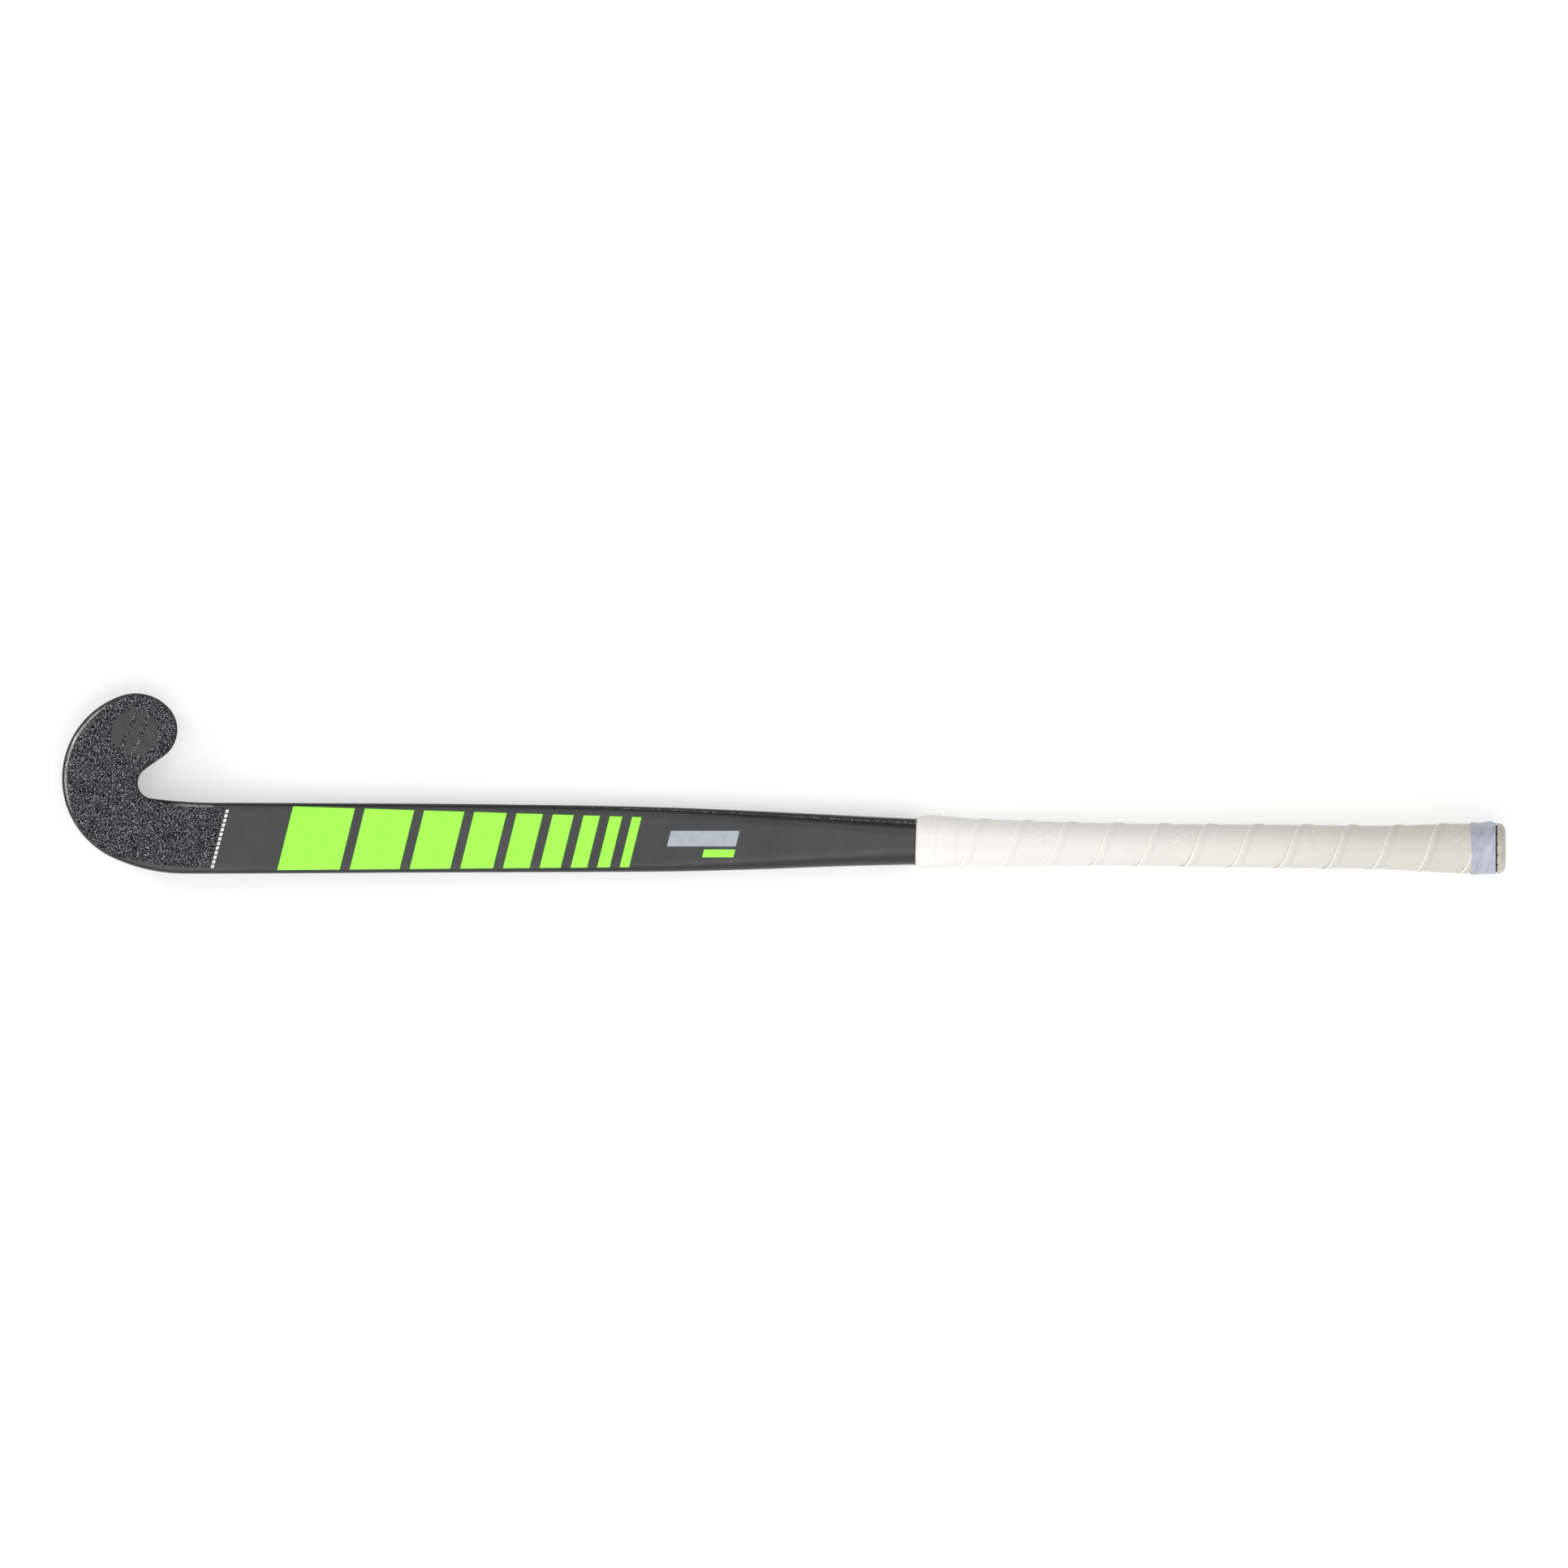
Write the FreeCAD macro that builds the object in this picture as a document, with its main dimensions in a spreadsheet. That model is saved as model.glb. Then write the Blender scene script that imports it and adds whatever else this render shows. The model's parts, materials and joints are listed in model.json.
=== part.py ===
import FreeCAD, Part
import math
import os

import Sketcher
from FreeCAD import Placement, Rotation, Vector

# A composite field hockey stick. It is drawn in its own design frame, in millimetres: X runs from
# the end of the head to the handle, Y from the heel edge to the toe, and Z out of the playing face,
# which is Z = 0 on the flat head. Behind the head the face bends up in one long arc, the bow, and the
# handle is straight. At the end every piece gets the same placement, which lays the stick at rest.

doc = FreeCAD.newDocument("field_hockey_stick")
sheet = doc.addObject("Spreadsheet::Sheet", "dims")

DIMENSIONS = [
    # plan of the head
    ("head_length", 100.0, "straight part of the stick, from the end of the head to the bow"),
    ("head_width", 45.6, "width of the stick where the head meets the shaft"),
    ("head_height", 115.9, "from the heel edge to the top of the toe"),
    ("heel_start", 79.0, "where the heel edge begins to turn"),
    ("heel_radius", 110.5, "first curve of the heel"),
    ("front_radius", 56.2, "long curve round the end of the head"),
    ("crown_radius", 28.9, "curve over the top of the hook"),
    ("toe_radius", 20.8, "round end of the toe"),
    ("toe_reach", 74.0, "how far the toe comes back towards the handle"),
    ("lip_radius", 200.0, "hollow curve under the toe"),
    ("throat_radius", 10.2, "tight inside curve of the hook"),
    ("throat_x", 58.8, "centre of the tight inside curve"),
    ("blend_radius", 334.9, "slow curve from the hook into the shaft"),
    # section of the head
    ("head_thickness", 21.5, "face to back"),
    ("face_edge", 3.5, "rounding along the playing face"),
    ("back_edge", 13.0, "rounding along the back"),
    # profile
    ("bow_radius", 3200.0, "radius of the bow"),
    ("bow_end", 547.0, "where the bow ends and the straight handle begins"),
    ("shell_end", 921.2, "open end of the laminate at the butt"),
    # walls and inside
    ("shell_wall", 2.2, "thickness of the outer laminate"),
    ("shell_face_edge", 1.2, "rounding of the hollow under the playing face"),
    ("tube_wall", 1.2, "wall of the twin tubes that make the web"),
    ("strip_depth", 1.6, "thickness of the heel reinforcement"),
    ("strip_width", 10.0, "height of the heel reinforcement, face to back"),
    ("plug_start", 891.0, "inner end of the butt plug"),
    ("foam_start", 560.0, "lower end of the foam in the handle"),
    # handle covers
    ("underlay", 0.5, "thickness of the adhesive underlay"),
    ("wrap", 1.9, "outside of the grip wrap, over the laminate"),
    ("band", 2.3, "outside of the finishing tapes, over the laminate"),
    ("wrap_start", 548.5, "lower edge of the grip wrap"),
    ("wrap_end", 907.5, "where the grip wrap meets the skirt of the cap"),
    ("lower_band_end", 561.0, "upper edge of the lower finishing band"),
    ("tape_start", 904.2, "lower edge of the tape at the butt"),
    ("tape_end", 920.2, "upper edge of the tape at the butt"),
    ("cap_end", 926.6, "outer end of the butt cap"),
    ("cap_edge", 4.6, "rounding of the butt cap"),
    ("groove", 0.8, "width and depth of the groove in front of the cap's rim"),
    # surface pieces
    ("coat", 0.3, "thickness of the grit coating on the head"),
    ("film", 0.15, "thickness of the printed films"),
    ("coat_margin", 3.6, "bare edge round the grit coating"),
    ("coat_end", 98.0, "end of the coating at mid-width"),
    ("slant", 14.0, "degrees that the graphics lean back"),
    # how the stick lies
    ("rest_pitch", 4.46, "degrees that the head end is lifted"),
    ("rest_roll", 0.0, "degrees that the toe side is lowered"),
]
for row, (alias, value, meaning) in enumerate(DIMENSIONS, 1):
    sheet.set(f"A{row}", meaning)
    sheet.set(f"B{row}", str(value))
    sheet.setAlias(f"B{row}", alias)

# Cross-sections of the laminate along the stick: how far along the face, the middle of the section
# across the stick, its width, its thickness, and the roundings of its face and back edges.
STATIONS = [
    ("junction", 100.0, 22.8, 45.6, 21.5, 3.5, 13.0),
    ("after_head", 125.0, 22.8, 45.4, 21.5, 3.5, 13.0),
    ("low_shaft", 180.0, 22.8, 44.9, 21.5, 3.6, 13.0),
    ("graphic_start", 235.0, 22.8, 44.3, 21.5, 3.8, 13.0),
    ("mid_shaft", 290.0, 22.6, 43.6, 21.7, 4.1, 13.0),
    ("graphic_end", 345.0, 22.3, 42.6, 22.2, 4.8, 13.0),
    ("taper_top", 400.0, 21.8, 40.7, 23.2, 6.0, 13.0),
    ("taper_mid", 450.0, 21.4, 37.2, 24.5, 7.6, 12.9),
    ("taper_end", 500.0, 21.1, 32.9, 25.7, 9.3, 12.7),
    ("grip_foot", 547.0, 20.5, 29.6, 26.6, 10.8, 12.4),
    ("lower_hand", 605.0, 19.6, 26.6, 27.3, 11.5, 11.8),
    ("waist", 665.0, 18.9, 24.0, 27.5, 11.2, 11.2),
    ("middle_hand", 725.0, 18.2, 24.0, 27.5, 11.3, 11.3),
    ("upper_hand", 790.0, 17.5, 24.6, 27.6, 11.4, 11.4),
    ("flare_start", 855.0, 16.8, 25.0, 28.0, 11.6, 11.6),
    ("flare_top", 897.0, 16.3, 28.4, 29.2, 12.8, 12.8),
    ("butt", 921.2, 16.3, 28.6, 29.4, 12.8, 12.8),
]
FIELDS = ("at", "middle", "wide", "thick", "face_round", "back_round")
first_row = len(DIMENSIONS) + 1
for number, (name, *values) in enumerate(STATIONS):
    for column, (field, value) in enumerate(zip(FIELDS, values)):
        row = first_row + number * len(FIELDS) + column
        sheet.set(f"A{row}", f"{name.replace('_', ' ')} section: {field}")
        sheet.set(f"B{row}", str(value))
        sheet.setAlias(f"B{row}", f"{name}_{field}")
doc.recompute()


def dim(alias):
    """The value of one cell of the sheet."""
    return float(sheet.get(alias))


# The profile: where a station is along the face, and how the section there is turned.


def profile(along):
    """Position in X and Z, and the slope in degrees, of the face at a distance along the stick."""
    start, end, radius = dim("head_length"), dim("bow_end"), dim("bow_radius")
    if along <= start:
        return along, 0.0, 0.0
    turn = (min(along, end) - start) / radius
    x = start + radius * math.sin(turn)
    z = radius * (1 - math.cos(turn))
    past = max(0.0, along - end)
    return x + past * math.cos(turn), z + past * math.sin(turn), math.degrees(turn)


def station_values(along):
    """Middle, width, thickness and the two roundings of the laminate at a distance along it."""
    rows = [[dim(f"{name}_{field}") for field in FIELDS] for name, *_ in STATIONS]
    for low, high in zip(rows, rows[1:]):
        if along <= high[0]:
            share = (along - low[0]) / (high[0] - low[0])
            return [a + share * (b - a) for a, b in zip(low[1:], high[1:])]
    return rows[-1][1:]


def stretch(start, end):
    """The distances of the sections that a loft from start to end passes through."""
    inside = [dim(f"{name}_at") for name, *_ in STATIONS]
    return [start] + [along for along in inside if start + 5 < along < end - 5] + [end]


# Sketch helpers.


def new_body(name):
    return doc.addObject("PartDesign::Body", name)


def plane_of(body, role):
    return next(f for f in body.Origin.OriginFeatures if f.Role == role)


def sketch_on(body, role, name, offset=None):
    sketch = body.newObject("Sketcher::SketchObject", name)
    sketch.AttachmentSupport = (plane_of(body, role), [""])
    sketch.MapMode = "FlatFace"
    if offset:
        sketch.AttachmentOffset = offset
    return sketch


def bind(sketch, constraint, expression):
    """Adds a constraint and drives its value from the sheet."""
    index = sketch.addConstraint(constraint)
    sketch.setExpression(f"Constraints[{index}]", expression)


def rounded_section(sketch, values, bindings):
    """A rectangle with two face roundings and two back roundings; its face edge is at sketch Y = top."""
    middle, wide, top, bottom, face_round, back_round = values
    left, right = middle - wide / 2, middle + wide / 2
    corners = [
        (right, top, face_round, 0, 90),
        (left, top, face_round, 90, 180),
        (left, bottom, back_round, 180, 270),
        (right, bottom, back_round, 270, 360),
    ]
    arcs = []
    for x, y, r, start, end in corners:
        centre = Vector(x - math.copysign(r, x - middle), y - math.copysign(r, y - (top + bottom) / 2), 0)
        circle = Part.Circle(centre, Vector(0, 0, 1), r)
        arcs.append(Part.ArcOfCircle(circle, math.radians(start), math.radians(end)))
    lines = [
        Part.LineSegment(arcs[k].EndPoint, arcs[(k + 1) % 4].StartPoint) for k in range(4)
    ]
    sketch.addGeometry(arcs + lines, False)
    for k in range(4):
        sketch.addConstraint(Sketcher.Constraint("Tangent", k, 2, 4 + k, 1))
        sketch.addConstraint(Sketcher.Constraint("Tangent", 4 + k, 2, (k + 1) % 4, 1))
    for line, direction in enumerate(("Horizontal", "Vertical", "Horizontal", "Vertical"), 4):
        sketch.addConstraint(Sketcher.Constraint(direction, line))
    sketch.addConstraint(Sketcher.Constraint("Equal", 0, 1))
    sketch.addConstraint(Sketcher.Constraint("Equal", 2, 3))
    bind(sketch, Sketcher.Constraint("Radius", 0, face_round), bindings["face_round"])
    bind(sketch, Sketcher.Constraint("Radius", 2, back_round), bindings["back_round"])
    bind(sketch, Sketcher.Constraint("DistanceX", 5, 1, 7, 1, wide), bindings["wide"])
    bind(sketch, Sketcher.Constraint("DistanceX", -1, 1, 7, 1, right), bindings["right"])
    bind(sketch, Sketcher.Constraint("DistanceY", -1, 1, 4, 1, top), bindings["top"])
    bind(sketch, Sketcher.Constraint("DistanceY", 6, 1, 4, 1, top - bottom), bindings["thick"])


def shaft_loft(name, start, end, grow, face_round_least=0.0):
    """A body lofted through the laminate's sections from start to end, each grown outwards by grow."""
    body = new_body(name)
    sketches = []
    named = {dim(f"{n}_at"): n for n, *_ in STATIONS}
    for along in stretch(start, end):
        x, z, slope = profile(along)
        offset = Placement(Vector(0, z, x), Rotation(Vector(1, 0, 0), -slope))
        sketch = sketch_on(body, "YZ_Plane", f"{name}_at_{round(along)}", offset)
        middle, wide, thick, face_round, back_round = station_values(along)
        values = (
            middle,
            wide + 2 * grow,
            grow,
            -thick - grow,
            max(face_round + grow, face_round_least),
            back_round + grow,
        )
        cell = named.get(along)
        if cell:
            face_expression = f"max(dims.{cell}_face_round + {grow}; {face_round_least})"
            bindings = {
                "face_round": face_expression,
                "back_round": f"dims.{cell}_back_round + {grow}",
                "wide": f"dims.{cell}_wide + 2 * ({grow})",
                "right": f"dims.{cell}_middle + dims.{cell}_wide / 2 + {grow}",
                "top": f"{grow}",
                "thick": f"dims.{cell}_thick + 2 * ({grow})",
            }
        else:
            bindings = {
                "face_round": f"{values[4]}",
                "back_round": f"{values[5]}",
                "wide": f"{values[1]}",
                "right": f"{middle + values[1] / 2}",
                "top": f"{grow}",
                "thick": f"{thick + 2 * grow}",
            }
        rounded_section(sketch, values, bindings)
        sketches.append(sketch)
    loft = body.newObject("PartDesign::AdditiveLoft", f"{name}_loft")
    loft.Profile = sketches[0]
    loft.Sections = sketches[1:]
    loft.Ruled = False
    return body


# Outlines of the head. Each arc carries on from the one before it without a corner: the name of its
# radius in the sheet, how far it turns (negative where it is hollow), and which cells fix its centre.
HEAD_ARCS = [
    ("heel_radius", 24.83),
    ("front_radius", 135.97),
    ("crown_radius", 66.77),
    ("toe_radius", 99.1),
    ("lip_radius", -4.24),
    ("throat_radius", -135.14),
    ("blend_radius", -7.29),
]


def head_outline(sketch, inset, end=None):
    """Draws the head's outline, moved in by inset, and closes it straight across at the end."""
    end = end or "dims.head_length"
    at_end = dim("head_length")
    x, y, heading = dim("heel_start"), inset, 180.0
    shapes = [Part.LineSegment(Vector(at_end, inset, 0), Vector(x, y, 0))]
    for cell, turn in HEAD_ARCS:
        radius = dim(cell) - math.copysign(inset, turn)
        side = math.radians(heading - math.copysign(90, turn))
        centre = Vector(x + radius * math.cos(side), y + radius * math.sin(side), 0)
        first = math.degrees(side) + 180
        ends = sorted((first, first - turn))
        circle = Part.Circle(centre, Vector(0, 0, 1), radius)
        shapes.append(Part.ArcOfCircle(circle, math.radians(ends[0]), math.radians(ends[1])))
        heading -= turn
        out = math.radians(first - turn)
        x, y = centre.x + radius * math.cos(out), centre.y + radius * math.sin(out)
    top = dim("head_width") - inset
    shapes.append(Part.LineSegment(Vector(x, y, 0), Vector(at_end, inset, 0)))
    sketch.addGeometry(shapes, False)
    # a clockwise arc begins at its second end point, a hollow one at its first
    begins = [1] + [2 if turn > 0 else 1 for _, turn in HEAD_ARCS]
    finishes = [2] + [1 if turn > 0 else 2 for _, turn in HEAD_ARCS]
    last = len(HEAD_ARCS)
    for k in range(last):
        joint = Sketcher.Constraint("Tangent", k, finishes[k], k + 1, begins[k + 1])
        sketch.addConstraint(joint)
    sketch.addConstraint(Sketcher.Constraint("Coincident", last, finishes[last], last + 1, 1))
    sketch.addConstraint(Sketcher.Constraint("Coincident", last + 1, 2, 0, 1))
    sketch.addConstraint(Sketcher.Constraint("Horizontal", 0))
    sketch.addConstraint(Sketcher.Constraint("Vertical", last + 1))
    for k, (cell, turn) in enumerate(HEAD_ARCS, 1):
        sign = "-" if turn > 0 else "+"
        value = dim(cell) - math.copysign(inset, turn)
        bind(sketch, Sketcher.Constraint("Radius", k, value), f"dims.{cell} {sign} {inset}")
    bind(sketch, Sketcher.Constraint("DistanceX", -1, 1, 0, 1, at_end), end)
    bind(sketch, Sketcher.Constraint("DistanceX", -1, 1, 0, 2, dim("heel_start")), "dims.heel_start")
    if inset:
        bind(sketch, Sketcher.Constraint("DistanceY", -1, 1, 0, 1, inset), f"{inset}")
    else:
        sketch.addConstraint(Sketcher.Constraint("PointOnObject", 0, 1, -1))
    bind(sketch, Sketcher.Constraint("DistanceY", -1, 1, last + 1, 1, top), f"dims.head_width - {inset}")
    front = Sketcher.Constraint("DistanceX", -1, 1, 2, 3, dim("front_radius"))
    bind(sketch, front, "dims.front_radius")
    crown = Sketcher.Constraint("DistanceY", -1, 1, 3, 3, dim("head_height") - dim("crown_radius"))
    bind(sketch, crown, "dims.head_height - dims.crown_radius")
    toe = Sketcher.Constraint("DistanceX", -1, 1, 4, 3, dim("toe_reach") - dim("toe_radius"))
    bind(sketch, toe, "dims.toe_reach - dims.toe_radius")
    throat = Sketcher.Constraint("DistanceX", -1, 1, 6, 3, dim("throat_x"))
    bind(sketch, throat, "dims.throat_x")
    blend = Sketcher.Constraint("DistanceX", -1, 1, 7, 3, at_end)
    bind(sketch, blend, end)


def head_block(name, inset, face_round, back_round):
    """A block in the head's outline, moved in by inset on every side, with rounded edges."""
    body = new_body(name)
    sketch = sketch_on(body, "XY_Plane", f"{name}_outline", Placement(Vector(0, 0, -inset), Rotation()))
    head_outline(sketch, inset)
    pad = body.newObject("PartDesign::Pad", f"{name}_pad")
    pad.Profile = sketch
    pad.Reversed = True
    pad.setExpression("Length", f"dims.head_thickness - 2 * {inset}")
    doc.recompute()
    base = pad
    for label, level, radius in (
        ("face", -inset, face_round),
        ("back", inset - dim("head_thickness"), back_round),
    ):
        edges = []
        for number, edge in enumerate(base.Shape.Edges, 1):
            box = edge.BoundBox
            flat = abs(box.ZMin - level) < 0.01 and abs(box.ZMax - level) < 0.01
            across = box.XMin > dim("head_length") - 0.01
            if flat and not across:
                edges.append(f"Edge{number}")
        fillet = body.newObject("PartDesign::Fillet", f"{name}_{label}_edge")
        fillet.Base = (base, edges)
        fillet.setExpression("Radius", radius)
        doc.recompute()
        base = fillet
    body.Tip = base
    return body


def polygon(sketch, points):
    """A closed outline through points, each held by the sheet's values it was worked out from."""
    first = sketch.GeometryCount
    corners = [Vector(px, py, 0) for px, py in points]
    count = len(corners)
    lines = [Part.LineSegment(corners[k], corners[(k + 1) % count]) for k in range(count)]
    sketch.addGeometry(lines, False)
    for k in range(count):
        after = (k + 1) % count
        sketch.addConstraint(Sketcher.Constraint("Coincident", first + k, 2, first + after, 1))
    for k, (px, py) in enumerate(points):
        for kind, value in (("DistanceX", px), ("DistanceY", py)):
            if abs(value) < 1e-6:
                axis = -2 if kind == "DistanceX" else -1
                sketch.addConstraint(Sketcher.Constraint("PointOnObject", first + k, 1, axis))
            else:
                sketch.addConstraint(Sketcher.Constraint(kind, -1, 1, first + k, 1, value))


def prism(name, outlines, low, high):
    """Straight prisms through the stick, from height low to height high, on plan outlines."""
    body = new_body(name)
    sketch = sketch_on(body, "XY_Plane", f"{name}_plan", Placement(Vector(0, 0, low), Rotation()))
    for points in outlines:
        polygon(sketch, points)
    pad = body.newObject("PartDesign::Pad", f"{name}_pad")
    pad.Profile = sketch
    pad.Length = high - low
    body.Tip = pad
    return body


def combine(kind, name, base, tool):
    """A cut, common or fuse of two shapes."""
    made = doc.addObject(f"Part::{kind}", name)
    made.Base = base
    made.Tool = tool
    return made


def slab(name, start, end):
    """Everything between two distances along the handle."""
    x, z, slope = profile(dim(start))
    box = doc.addObject("Part::Box", name)
    box.setExpression("Length", f"dims.{end} - dims.{start}")
    box.Width = 100
    box.Height = 100
    turned = Rotation(Vector(0, 1, 0), -slope)
    box.Placement = Placement(Vector(x, -30, z) + turned.multVec(Vector(0, 0, -65)), turned)
    return box


wall = dim("shell_wall")
inner = wall + dim("tube_wall")

# The laminate: a solid stick, then the same stick moved in by the wall, and the difference.
outer_head = head_block("outer_head", 0.0, "dims.face_edge", "dims.back_edge")
outer_shaft = shaft_loft("outer_shaft", dim("head_length"), dim("shell_end"), 0.0)
hollow_head = head_block("hollow_head", wall, "dims.shell_face_edge", "dims.back_edge - dims.shell_wall")
hollow_shaft = shaft_loft(
    "hollow_shaft", dim("head_length"), dim("shell_end"), -wall, dim("shell_face_edge")
)
doc.recompute()
solid_stick = combine("Fuse", "solid_stick", outer_head, outer_shaft)
hollow = combine("Fuse", "hollow", hollow_head, hollow_shaft)
composite_shell = combine("Cut", "composite_shell", solid_stick, hollow)

# Reinforcement against the heel and the front of the head, and the foam core behind it.
depth = dim("strip_depth")
band_low = -dim("head_thickness") / 2 - dim("strip_width") / 2


def outline_plate(name, inset, low, thickness):
    """A plain plate in the head's outline, moved in by inset."""
    body = new_body(name)
    sketch = sketch_on(body, "XY_Plane", f"{name}_outline", Placement(Vector(0, 0, low), Rotation()))
    head_outline(sketch, inset)
    pad = body.newObject("PartDesign::Pad", f"{name}_pad")
    pad.Profile = sketch
    pad.Length = thickness
    body.Tip = pad
    return body


strip_outside = outline_plate("strip_outside", wall, band_low, dim("strip_width"))
strip_inside = outline_plate("strip_inside", wall + depth, band_low - 1, dim("strip_width") + 2)
strip_reach = prism("strip_reach", [[(-5, -5), (96, -5), (96, 22), (50, 30), (32, 60), (28, 125), (-5, 125)]], -30, 5)
strip_hoop = combine("Cut", "strip_hoop", strip_outside, strip_inside)
strip_length = combine("Common", "strip_length", strip_hoop, strip_reach)
heel_strip = combine("Common", "heel_strip", strip_length, hollow_head)
head_core = combine("Cut", "head_core", hollow_head, strip_length)

# Twin tubes side by side from the head to the butt plug, which leave a web down the middle.
mid_line = [(100.0, 22.8), (400.0, 21.8), (560.0, 20.2), (930.0, 16.3)]
plug_x = profile(dim("plug_start"))[0]
foam_x = profile(dim("foam_start"))[0]


def half(name, side, gap, start, end):
    """The space on one side of the middle line; gap is the distance kept from it."""
    def middle(px):
        for (x0, y0), (x1, y1) in zip(mid_line, mid_line[1:]):
            if px <= x1:
                return y0 + (px - x0) / (x1 - x0) * (y1 - y0) + side * gap
    inside = [px for px, _ in mid_line if start < px < end]
    near = [(px, middle(px)) for px in [start] + inside + [end]]
    return prism(name, [near + [(end, 20 + side * 60), (start, 20 + side * 60)]], -60, 120)


hollow_tube = shaft_loft("hollow_tube", dim("head_length"), dim("shell_end"), -inner, 0.6)
tubes = {}
foams = {}
for name, side in (("heel_side", -1), ("toe_side", 1)):
    outside = half(f"{name}_space", side, 0.0, dim("head_length"), plug_x)
    inside = half(f"{name}_bore", side, dim("tube_wall"), dim("head_length") - 1, plug_x + 1)
    foam_room = half(f"{name}_foam_room", side, dim("tube_wall"), foam_x, plug_x)
    blank = combine("Common", f"{name}_blank", hollow_shaft, outside)
    bore = combine("Common", f"{name}_hollow", hollow_tube, inside)
    tubes[name] = combine("Cut", f"{name}_tube", blank, bore)
    foams[name] = combine("Common", f"{name}_foam", hollow_tube, foam_room)
plug_room = prism("plug_room", [[(plug_x, -40), (960, -40), (960, 80), (plug_x, 80)]], -60, 120)
butt_plug = combine("Common", "butt_plug", hollow_shaft, plug_room)

# Layers over the handle: the stick grown by each layer's height, one inside the other.
span = (dim("head_length"), dim("shell_end"))
grown = {
    layer: shaft_loft(f"{layer}_outside", *span, dim(layer)) for layer in ("underlay", "wrap", "band")
}
neck_height = dim("wrap") - dim("groove")


def layer(name, outside, inside, start, end):
    """The space between two grown sticks, from one distance along the handle to another."""
    piece = combine("Common", f"{name}_length", outside, slab(f"{name}_slab", start, end))
    return combine("Cut", name, piece, inside)


edge_seal = layer("edge_seal", grown["underlay"], outer_shaft, "bow_end", "wrap_start")
grip_underlay = layer("grip_underlay", grown["underlay"], outer_shaft, "wrap_start", "wrap_end")
grip_collar = layer("grip_collar", grown["band"], grown["underlay"], "wrap_start", "lower_band_end")
grip_wrap = layer("grip_wrap", grown["wrap"], grown["underlay"], "lower_band_end", "wrap_end")
butt_tape = layer("butt_tape", grown["band"], grown["wrap"], "tape_start", "tape_end")

# The rubber cap: a skirt over the laminate, a groove, and a rim that closes the end.
rim = shaft_loft("cap_rim", dim("shell_end"), dim("cap_end"), dim("wrap") + 0.3)
doc.recompute()
rim_edges = []
end_x, end_z, end_slope = profile(dim("cap_end"))
outward = Vector(math.cos(math.radians(end_slope)), 0, math.sin(math.radians(end_slope)))
for number, edge in enumerate(rim.Tip.Shape.Edges, 1):
    away = [(v.Point - Vector(end_x, 0, end_z)).dot(outward) for v in edge.Vertexes]
    if all(abs(distance) < 0.05 for distance in away):
        rim_edges.append(f"Edge{number}")
rounding = rim.newObject("PartDesign::Fillet", "cap_rim_edge")
rounding.Base = (rim.Group[-2] if rim.Group[-1] is rounding else rim.Tip, rim_edges)
rounding.setExpression("Radius", "dims.cap_edge")
rim.Tip = rounding
neck = shaft_loft("cap_neck", dim("tape_end"), dim("shell_end"), neck_height)
skirt = combine("Common", "cap_skirt", grown["wrap"], slab("skirt_slab", "wrap_end", "tape_end"))
cap_body = combine("Fuse", "cap_body", combine("Fuse", "cap_rim_and_neck", rim, neck), skirt)
butt_cap = combine("Cut", "butt_cap", cap_body, outer_shaft)

# Films on the face of the shaft: the thinnest layer over the laminate, cut to plan outlines.
film = dim("film")
filmed = shaft_loft("film_outside", *span, film)
film_skin = combine("Cut", "film_skin", filmed, outer_shaft)
lean = math.tan(math.radians(dim("slant")))


def leaning(x, low, high, wide):
    """Corners of a bar that leans back, whose lower left corner is at x."""
    top = x + (high - low) * lean
    return [(x, low), (x + wide, low), (top + wide, high), (top, high)]


def graphic(name, outlines):
    return combine("Common", name, film_skin, prism(f"{name}_plan", outlines, -4, 30))


# Nine leaning bars, each narrower than the last and drawn in with the taper of the shaft, then two
# slim marks near the grip.
def tapered(x, wide):
    corners = []
    for at, highest in ((x, False), (x + wide, False), (x + wide, True), (x, True)):
        low, high = 2.4 + 0.008 * (at - 138), 43.2 - 0.0308 * (at - 138)
        corners.append((at + (high - low) * lean, high) if highest else (at, low))
    return corners


bars = []
bar_x = 138.0
for wide in (40.0, 32.0, 26.0, 21.0, 17.0, 13.5, 10.5, 8.0, 6.0):
    bars.append(tapered(bar_x, wide))
    bar_x += wide + 6.5
shaft_graphic = graphic("shaft_graphic", bars)
series_mark = graphic("series_mark", [leaning(388, 17.5, 27.5, 44)])
size_mark = graphic("size_mark", [leaning(410.5, 10.5, 15.5, 20)])

# Pieces on the flat face of the head. The badge sits in a window of the grit coating.


def face_plate(name, inset, height, points):
    """A plate on the face in the head's outline, moved in by inset, as far as the points reach."""
    whole = outline_plate(f"{name}_whole", inset, 0.0, height)
    return combine("Common", f"{name}_reach", whole, prism(f"{name}_plan", [points], -1, height + 1))


coat = dim("coat")
coat_x = dim("coat_end") - 22.8 * lean * 1.05
coat_points = [(-5, -5), (coat_x, -5), (coat_x + 55 * lean * 1.05, 50), (62, 52), (62, 125), (-5, 125)]
coat_shape = face_plate("coat", dim("coat_margin"), coat, coat_points)
badge_window = doc.addObject("Part::Cylinder", "badge_window")
badge_window.Radius = 15.4
badge_window.Height = 4
badge_window.Placement.Base = Vector(46.5, 90.5, -1)
grit_coating = combine("Cut", "grit_coating", coat_shape, badge_window)
toe_badge = doc.addObject("Part::Cylinder", "toe_badge")
toe_badge.Radius = 15.2
toe_badge.setExpression("Height", "dims.film")
dashes = []
for k in range(13):
    low = 3.7 + 2.95 * k
    start = coat_x + 1.0 + (low + 5) * lean * 1.05
    dashes.append([(start, low), (start + 1.8, low), (start + 2.3, low + 2.0), (start + 0.5, low + 2.0)])
dash_prisms = prism("dash_plan", dashes, -0.5, film)
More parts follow.
